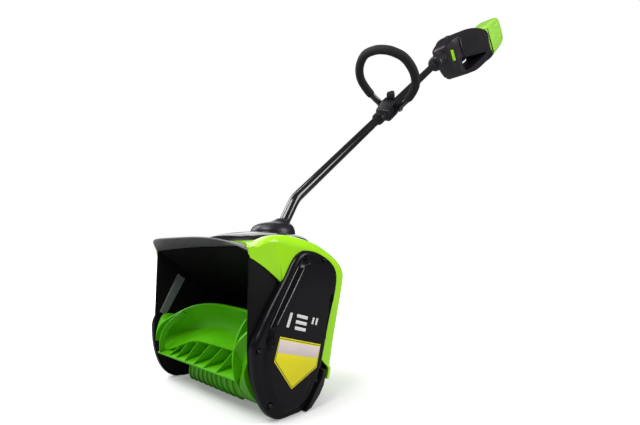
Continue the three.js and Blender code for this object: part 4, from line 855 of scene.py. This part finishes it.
around = circle(64)
collar_rows = smooth_open([[280, 178, 50, 47], [298, 178, 49, 46], [306, 178.5, 47.5, 44],
                           [312, 180, 44.5, 40], [316.5, 182.5, 39.5, 34.5], [319.3, 186.5, 33.5, 28],
                           [321, 191.5, 29, 22], [323, 196, 21.5, 18.5], [327, 202.5, 17.6, 16.8],
                           [331, 208, 15.4, 15.2]], 46)
neck_rings = [np.column_stack([b * np.cos(around), y + a * np.sin(around), np.full(64, z)])
              for z, y, a, b in collar_rows]
satin_black = plastic("satin_black", (0.017, 0.014, 0.021), 0.36, depth=0.03, grain=800.0)
piece("neck", [loft(head_space(neck_rings))], satin_black, replaces=["neck_collar"])

# ---------------------------------------------------------------------------------- tubes
# Two lengths of 24.5 steel tube in gloss black paint, the lower one bent near the head, joined
# end to end inside a ribbed plastic ring.
BEND = np.array([0.0, 129.0, 379.0])
TUBE_TILT, STUB_TILT = math.radians(39.1), math.radians(59.7)
UP_TUBE = np.array([0.0, math.cos(TUBE_TILT), math.sin(TUBE_TILT)])
ABOVE_TUBE = np.array([0.0, -UP_TUBE[2], UP_TUBE[1]])
STUB = np.array([0.0, math.cos(STUB_TILT), math.sin(STUB_TILT)])
TUBE_R = 12.25
BEND_RADIUS = 90
FOOT_END, LOWER_END, UPPER_START, UPPER_END = 158, 449.5, 449.7, 1070


def on_tube(points):
    """(along, above, across) in millimetres from the tube's bend, as places in the shared frame."""
    p = np.asarray(points, float)
    return (BEND + p[..., :1] * UP_TUBE + p[..., 1:2] * ABOVE_TUBE + p[..., 2:3] * [1.0, 0, 0]) * MM


def sweep(path, radii):
    """Rings round a path of points, each in the plane across it; radii is one size or one per point."""
    path = np.asarray(path, float)
    way = tangents(path)
    radii = np.broadcast_to(np.asarray(radii, float), len(path))
    a = np.array([1.0, 0, 0])
    t = circle(40)
    rings = []
    for p, w, r in zip(path, way, radii):
        a = a - (a @ w) * w
        a /= np.linalg.norm(a)
        b = np.cross(w, a)
        rings.append(p + r * (np.outer(np.cos(t), a) + np.outer(np.sin(t), b)))
    return np.array(rings)


def spun(profile, sides=48):
    """(along, above, across) rings of a profile of (along, radius) turned round the tube's line."""
    t = circle(sides)
    return np.array([np.column_stack([np.full(sides, s), r * np.sin(t), r * np.cos(t)]) for s, r in profile])


def spun_across(profile, sides):
    """The same round part, with its line turned across the tube."""
    return spun(profile, sides)[:, :, [1, 2, 0]]


def rounded_profile(start, end, radius, edge):
    """(along, radius) of a collar on the tube with quarter-round edges, from bore to bore."""
    t, bore = np.linspace(0, math.pi / 2, 6), TUBE_R + 0.1
    rise = [(start + edge * (1 - math.cos(a)), radius - edge * (1 - math.sin(a))) for a in t]
    fall = [(end - edge * (1 - math.cos(a)), radius - edge * (1 - math.sin(a))) for a in t[::-1]]
    return [(start, bore), *rise, *fall, (end, bore)]


bend_run = BEND_RADIUS * math.tan((STUB_TILT - TUBE_TILT) / 2)
enter, leave = BEND - bend_run * STUB, BEND + bend_run * UP_TUBE
t = np.linspace(0, 1, 25)[1:-1, None]
turn_path = (1 - t) ** 2 * enter + 2 * (1 - t) * t * BEND + t**2 * leave
lower_path = np.vstack([BEND - FOOT_END * STUB, straight(BEND - 90 * STUB, enter, 4), turn_path,
                        straight(leave, BEND + LOWER_END * UP_TUBE, 14)])
paint = plastic("black_paint", (0.012, 0.012, 0.013), 0.16, depth=0.001, grain=160.0, drift=0.06, coat=0.6)
piece("tube_lower", [loft(sweep(lower_path, TUBE_R) * MM)], paint,
      replaces=["lower_tube"])
upper_path = straight(BEND + UPPER_START * UP_TUBE, BEND + UPPER_END * UP_TUBE, 18)
piece("tube_upper", [loft(sweep(upper_path, TUBE_R) * MM)], paint,
      replaces=["upper_tube"])
splice = rounded_profile(432, 463, 18.6, 3)
groove = [place for place in splice if place[0] < 445]
groove += [(446, 18.6), (446.6, 17.4), (448, 17.4), (448.6, 18.6)]
groove += [place for place in splice if place[0] > 450]
piece("splice_collar", [loft(on_tube(spun(groove)))], satin_black,
      replaces=["splice_ring"])
collar = rounded_profile(928, 1004, 27.5, 9)
piece("tube_collar", [loft(on_tube(spun(collar)))], satin_black,
      replaces=["rear_collar"])

# ---------------------------------------------------------------------------------- loop handle
# A bent steel bar in a foam sleeve, pinned between the ears of a two-part plastic clamp. A three
# lobed knob on a stud pulls the clamp tight round the tube. The clamp sits turned on the tube.
LOOP_AT = 526.0
KNOB_AT = 532
LOOP_ROLL, LOOP_LEAN = math.radians(22.5), math.radians(14)


def in_clamp(points):
    """(along, above, across) in the clamp, turned round the tube by the clamp's roll."""
    p = np.asarray(points, float)
    c, s = math.cos(LOOP_ROLL), math.sin(LOOP_ROLL)
    return on_tube(np.stack([p[..., 0], p[..., 1] * c - p[..., 2] * s, p[..., 1] * s + p[..., 2] * c], -1))


def in_loop(points):
    """(along, above, across) in the loop's own plane, leaned towards the head about its pins."""
    p = np.asarray(points, float)
    c, s = math.cos(LOOP_LEAN), math.sin(LOOP_LEAN)
    a = p[..., 0] - LOOP_AT
    return in_clamp(np.stack([LOOP_AT + a * c - p[..., 1] * s, a * s + p[..., 1] * c, p[..., 2]], -1))


half_loop = [[33, 3], [36, 11], [49, 25], [70, 52], [87, 90], [84, 132], [61, 171], [28, 188]]
loop_points = [[LOOP_AT, b, a] for a, b in half_loop] + [[LOOP_AT, 192, 0]]
loop_points += [[LOOP_AT, b, -a] for a, b in half_loop[::-1]]
loop_path = smooth_open(loop_points, 150)
eyelet = spun_across([(25.4, 9.5), (25.6, 10.8), (33.9, 10.8), (34.2, 10.0)], 32)
loop_parts = [loft(in_loop(sweep(loop_path, 9.5)))]
loop_parts += [loft(in_loop(eyelet * [1, 1, side] + [LOOP_AT, 0, 0])) for side in (1, -1)]
piece("loop_bar", loop_parts, paint, body="loop", replaces=["loop_tube"])
foam_path = loop_path[12:-12]
ends = np.minimum(np.arange(len(foam_path)), np.arange(len(foam_path))[::-1])
foam_size = 12.6 - 2.6 * np.clip(1 - ends / 3.0, 0, 1) ** 2
foam = plastic("foam", (0.014, 0.013, 0.015), 0.8, depth=0.2, grain=1400.0, drift=0.05, shade=0.1)
piece("loop_sleeve", [loft(in_loop(sweep(foam_path, foam_size)))], foam, body="loop",
      replaces=["loop_grip"])

side_view = smooth_closed([[465, -12], [470, -19], [480, -22.5], [520, -22.5], [536, -21], [545, -13],
                           [546, 2], [546, 16], [541, 24], [530, 26], [505, 26], [490, 22], [476, 17.5],
                           [466, 14.5], [464, 2]], 96)
for name, keep, node in (("clamp_top", 1, "clamp_upper"), ("clamp_base", -1, "clamp_lower")):
    # The two halves part along a flat gap 0.8 wide, 8 below the tube's line.
    cut = side_view.copy()
    cut[:, 1] = np.maximum(cut[:, 1], -7.6) if keep > 0 else np.minimum(cut[:, 1], -8.4)
    rim = 2.6 if keep > 0 else 2.0
    parts = [loft(in_clamp(rounded_slab(cut, -21, 21, rim, rim)))]
    if keep > 0:
        for side in (1, -1):
            ear = spun_across([(14, 11), (24.2, 11), (25.0, 10.2)], 40)
            parts.append(loft(in_clamp(ear * [1, 1, side] + [LOOP_AT, 0, 0])))
    piece(name, parts, satin_black, replaces=[node])
t = circle(72)
lobes = 12 + 2.0 * np.cos(3 * t)
knob_sizes = ((26.4, 0.86), (26.6, 0.9), (28, 0.97), (31, 1.0), (41, 1.0), (44, 0.97), (45.6, 0.88),
              (46.2, 0.76), (45.4, 0.6), (45.4, 0.3))
knob = [np.column_stack([KNOB_AT + size * lobes * np.cos(t), np.full(72, level), size * lobes * np.sin(t)])
        for level, size in knob_sizes]
piece("knob_head", [loft(in_clamp(knob))], satin_black, body="knob",
      replaces=["clamp_knob"])

# ---------------------------------------------------------------------------------- rear housing
# Two moulded shells screwed together round the tube's end, with a closed finger hole, flat bevels
# at the front, a bay for the battery, gloss flank panels stuck on and a lime bar on each side.
HALF_WIDE, HALF_FRONT, SEAM = 48.0, 34.0, 0.15
shell_line = smooth_closed([[1013, 36], [1009, 0], [1018, -36], [1042, -80], [1085, -107], [1160, -125],
                            [1240, -140], [1360, -149], [1478, -155], [1462, -107], [1480, -52], [1445, -20],
                            [1345, 12], [1250, 33], [1160, 46], [1080, 48]], 160)
hole_line = smooth_closed([[1100, -47], [1150, -56], [1260, -82], [1386, -113], [1300, -112], [1200, -108],
                           [1130, -101], [1098, -90]], 160)


def half_wide(along):
    """How far the housing reaches to each side at a place along the tube."""
    return np.interp(along, [1005, 1014, 1022, 1062, 1112, 1150],
                     [22, 32, HALF_FRONT, HALF_FRONT, HALF_WIDE - 2, HALF_WIDE])


def matched(outer, inner):
    """The inner loop's points taken so that each faces the outer loop's point of the same number."""
    middle = inner.mean(0)
    stretch = np.array([0.42, 1.0])
    want, have = [np.unwrap(np.arctan2(*((line - middle) * stretch).T[::-1])) for line in (outer, inner)]
    if (want[-1] - want[0]) * (have[-1] - have[0]) < 0:
        inner, have = inner[::-1], have[::-1]
    turns = 2 * math.pi * np.sign(have[-1] - have[0])
    have = np.concatenate([have - turns, have, have + turns])
    inner = np.vstack([inner, inner, inner])
    order = np.argsort(have)
    want = (want - have.min()) % (2 * math.pi) + have.min()
    return np.column_stack([np.interp(want, have[order], inner[order, axis]) for axis in (0, 1)])


hole_line = matched(shell_line, hole_line)


def shell_skin(side):
    """Rings of one housing half: its outer line and bevel, the flank, and the finger hole's rim."""
    bevel = ((0.0, 9.6), (0.5, 8.6), (4.2, 3.2), (8.2, 0.5), (9.2, 0.0))
    rim = ((4.5, 0.0), (3.2, 0.5), (1.6, 1.8), (0.4, 3.6), (0.0, 5.6))
    rings = [(inset(shell_line, back), drop) for back, drop in bevel]
    flank, brink = rings[-1][0], inset(hole_line, -rim[0][0])
    rings += [(flank * (1 - step) + brink * step, 0.0) for step in (0.25, 0.5, 0.75)]
    rings += [(inset(hole_line, -out), drop) for out, drop in rim]
    skin = [np.column_stack([ring, side * (half_wide(ring[:, 0]) - drop)]) for ring, drop in rings]
    return [at_level(shell_line, side * SEAM), *skin, at_level(hole_line, side * SEAM)]


def ring_shell(rings):
    """A closed skin whose last ring joins its first, as quads."""
    points = np.concatenate(rings)
    count, around = len(rings), len(rings[0])
    a = np.arange(count)[:, None] * around + np.arange(around)
    b = np.roll(a, -1, 1)
    return points, np.stack([a, b, np.roll(b, -1, 0), np.roll(a, -1, 0)], -1).reshape(-1, 4)


def carved(obj, cutters):
    """Takes closed cutter meshes out of the object's mesh and keeps the result as plain faces."""
    for cutter in cutters:
        tool = bpy.data.objects.new("cutter", mesh_of("cutter", [cutter]))
        scene.collection.objects.link(tool)
        cut = obj.modifiers.new("cut", "BOOLEAN")
        cut.object, cut.operation, cut.solver = tool, "DIFFERENCE", "EXACT"
        shape = bpy.data.meshes.new_from_object(obj.evaluated_get(bpy.context.evaluated_depsgraph_get()))
        obj.modifiers.clear()
        obj.data = shape
        bpy.data.objects.remove(tool)


# Rooms for the battery, the trigger, the switch, the board and the contacts, then the button.
rooms = []
for room, half in (([[1418, -40], [1418, -142], [1540, -142], [1540, -40]], 38),
                   ([[1104, -20], [1162, -20], [1252, -46], [1252, -92], [1104, -66]], 9),
                   ([[1125.6, -21], [1125.6, 4], [1163, 4], [1163, -21]], 9),
                   ([[1160, 34], [1250, 20], [1340, 0], [1398, -20],
                     [1398, -72], [1300, -66], [1250, -50], [1160, -30]], 44),
                   ([[1390, -70], [1390, -50], [1430, -50], [1430, -70]], 16)):
    room = np.array(room, float)
    rooms.append(loft(on_tube([at_level(room, level) for level in (-half, half)])))
button_room = smooth_closed([[1103.2, -7.8], [1103.2, 7.8], [1126.8, 7.8], [1126.8, -7.8]], 32)
button_shaft = [np.column_stack([button_room[:, 0], np.full(32, above), button_room[:, 1]])
                for above in (21, 70)]
rooms.append(loft(on_tube(button_shaft)))
flank_line = smooth_closed([[1112, 30], [1160, 34], [1250, 21], [1345, 1], [1430, -28], [1460, -56],
                            [1446, -102], [1420, -112], [1395, -104], [1260, -72], [1150, -46], [1112, -38]],
                           120)
flank_panel = (rounded_slab(flank_line, HALF_WIDE - 1, HALF_WIDE + 2.2, 0.2, 1.8),
               rounded_slab(inset(flank_line, 5), HALF_WIDE + 1.6, HALF_WIDE + 2.9, 0.2, 0.9, 4))
bar_line = smooth_closed([[1029, 10], [1032, 13], [1050, 8], [1052, 5], [1046, -31], [1043, -33], [1024, -28],
                          [1022, -25]], 64)
bar_rings = rounded_slab(bar_line, HALF_FRONT - 1, HALF_FRONT + 2, 0.2, 1.2, 4)
cup = spun_across([(0, 0.8), (0.1, 4.4), (0.7, 4.9), (0.9, 4.0), (0.4, 3.6), (0.35, 0.8)], 24)
cup_places = ((1036, 26), (1060, -84), (1180, -117), (1330, -134), (1440, -135))
for side, hand in ((1, "right"), (-1, "left")):
    shell = piece("housing_" + hand, [ring_shell(on_tube(shell_skin(side)))], satin_black,
                  replaces=["grip_housing_" + hand])
    carved(shell, rooms)
    piece("panel_" + hand, [loft(on_tube(rings * np.array([1, 1, side]))) for rings in flank_panel],
          hood_black, replaces=["flank_panel_" + hand])
    piece("stripe_" + hand, [loft(on_tube(bar_rings * np.array([1, 1, side])))], lime,
          replaces=["accent_bar_" + hand])
    screws = [loft(on_tube((cup + [along, above, half_wide(along) - 0.4]) * [1, 1, side]))
              for along, above in cup_places]
    piece("cups_" + hand, screws, satin_black)

# ---------------------------------------------------------------------------------- trigger, button
# A curved finger lever hangs into the finger hole on a steel pin, and a small ribbed button on the
# top must be pressed first; both are satin black mouldings.
lever_line = smooth_closed([[1110, -34], [1160, -33], [1226, -46], [1245, -58], [1240, -72], [1222, -80],
                            [1196, -79], [1172, -71], [1150, -71], [1130, -76], [1112, -66]], 72)
lever = piece("lever", [loft(on_tube(rounded_slab(lever_line, -8, 8, 2.6, 2.6, 6)))], satin_black,
              body="trigger_lever", replaces=["trigger"])
# The lever is bored for its pin, and wider on one side for the spring round it.
round_pin = circle(32)
PIN_ALONG, PIN_ABOVE = 1234, -60
pin_room = [np.column_stack([PIN_ALONG + r * np.cos(round_pin), PIN_ABOVE + r * np.sin(round_pin),
                             np.full(32, level)])
            for level, r in ((-9, 3.6), (1.2, 3.6), (1.3, 5.7), (9, 5.7))]
carved(lever, [loft(on_tube(pin_room))])
button_line = smooth_closed([[1104, -7], [1104, 7], [1126, 7], [1126, -7]], 32)
button = [loft(on_tube(np.array(rounded_slab(button_line, 26, 53.5, 0.3, 2))[:, :, [0, 2, 1]]))]
for along in (1109, 1115, 1121):
    ridge = np.column_stack([along + 0.9 * np.cos(circle(8)), 53.4 + 1.1 * np.sin(circle(8))])
    button.append(loft(on_tube([at_level(ridge, across) for across in (-5, 5)])))
piece("press_button", button, satin_black, body="lock_off", replaces=["lock_button"])

# ---------------------------------------------------------------------------------- battery
# A lime moulded case in two halves with a seam round it, ribbed grip recesses on both flanks, a
# black foot that slides into the bay, and a black spring catch underneath.
case_line = smooth_closed([[1483, -36], [1489, -22], [1540, -20.5], [1600, -21], [1672, -24], [1700, -33],
                           [1712, -52], [1716, -90], [1711, -132], [1690, -150], [1660, -156], [1600, -159],
                           [1500, -159], [1485, -150], [1483, -90]], 140)
case = [at_level(inset(case_line, back), level)
        for back, level in ((16, 44.2), (12, 44.0), (8.0, 42.6), (4.2, 39.6), (1.6, 35.4), (0.3, 30.5),
                            (0.0, 27.0), (0.0, 1.1), (0.7, 0.5))]
case += [ring * [1, 1, -1] for ring in case[::-1]]
battery_parts = [loft(on_tube(case[::-1]))]
for side in (1, -1):
    for along in range(1530, 1668, 17):
        rib_line = smooth_closed([[along, -58], [along + 6, -58], [along + 6, -122], [along, -122]], 28)
        rib = rounded_slab(rib_line, 43.2, 45.6, 0.2, 1.1, 4)
        battery_parts.append(loft(on_tube(np.array(rib) * [1, 1, side])))
# Painted highlight: a paler copy of the shroud's lime, standing in for the strong light on the battery.
lit_battery_lime = plastic("lit_battery_lime", (0.46, 0.94, 0.10), 0.26, depth=0.01, grain=300.0, drift=0.05,
                       shade=0.05, coat=0.3)
piece("battery_case", battery_parts, lit_battery_lime, body="battery",
      replaces=["battery_pack"])
foot = np.array([[1423, -42], [1423, -141], [1460, -141], [1490, -141], [1490, -42], [1456, -42]], float)
piece("battery_foot", [loft(on_tube(rounded_slab(foot, -36.5, 36.5, 3, 3, 5)))], satin_black, body="battery")
catch_line = smooth_closed([[1641, -152], [1640, -160], [1645, -165], [1663, -165], [1668, -161],
                            [1667, -152]], 48)
piece("catch", [loft(on_tube(rounded_slab(catch_line, -14, 14, 2.4, 2.4, 5)))], satin_black, body="latch",
      replaces=["battery_latch"])

# ---------------------------------------------------------------------------------- metal and small parts
# Turned, pressed and moulded parts kept at their plain shape: skids, strips, blades, the drive
# train, screws and the electrics. Each gets a surface for what it is made of and how it is worn.
def metal(name, colour, roughness, streak, scale, metallic=1.0):
    """A bare or plated metal: a shallow even grain and a slow drift of shade and gloss."""
    return plastic(name, colour, roughness, depth=streak, grain=scale, drift=0.14, shade=0.16,
                   metallic=metallic)


skid_black = plastic("skid_black", (0.014, 0.013, 0.015), 0.46, depth=0.25, grain=420.0, drift=0.12,
                     shade=0.2)
strip_grey = plastic("strip_grey", (0.19, 0.19, 0.20), 0.42, depth=0.1, grain=500.0, drift=0.06)
plated = metal("plated_steel", (0.56, 0.56, 0.57), 0.26, 0.08, 900.0)
blade = metal("blade_steel", (0.50, 0.50, 0.51), 0.34, 0.2, 620.0)
dark_screw = metal("dark_screw", (0.020, 0.020, 0.022), 0.38, 0.05, 900.0, metallic=0.5)
can_steel = metal("can_steel", (0.42, 0.42, 0.43), 0.36, 0.08, 700.0)
spring_steel = metal("spring_steel", (0.34, 0.33, 0.33), 0.28, 0.04, 1200.0)
belt_black = plastic("belt_rubber", (0.016, 0.016, 0.016), 0.74, depth=0.3, grain=1500.0, drift=0.08)
board_green = plastic("board_green", (0.010, 0.10, 0.030), 0.34, depth=0.06, grain=900.0, coat=0.3)
copper = metal("contact_copper", (0.80, 0.36, 0.16), 0.3, 0.05, 1100.0)
pulley_grey = plastic("pulley_grey", (0.16, 0.16, 0.165), 0.4, depth=0.08, grain=600.0)
cover_screws = ["cover_screw_%s_%d" % (side, n) for side in ("left", "right") for n in (1, 2, 3, 4)]
surfaces = {
    skid_black: ["skid_left", "skid_right"],
    strip_grey: ["wall_strip_left", "wall_strip_right"],
    blade: ["scraper_bar", "cross_member"],
    plated: ["rotor_axle", "rotor_pulley", "motor_shaft", "idler_stud", "axle_bearing_left",
             "axle_bearing_right", "trigger_pin", "loop_bolt_left", "loop_bolt_right"],
    dark_screw: ["collar_screw", *cover_screws],
    can_steel: ["motor_can"],
    spring_steel: ["trigger_spring"],
    belt_black: ["drive_belt"],
    pulley_grey: ["idler_pulley"],
    satin_black: ["power_switch"],
    board_green: ["control_board"],
    copper: ["terminal_block"],
}
for surface, names in surfaces.items():
    for node in names:
        obj = bpy.data.objects[node]
        obj.data.materials.clear()
        obj.data.materials.append(surface)
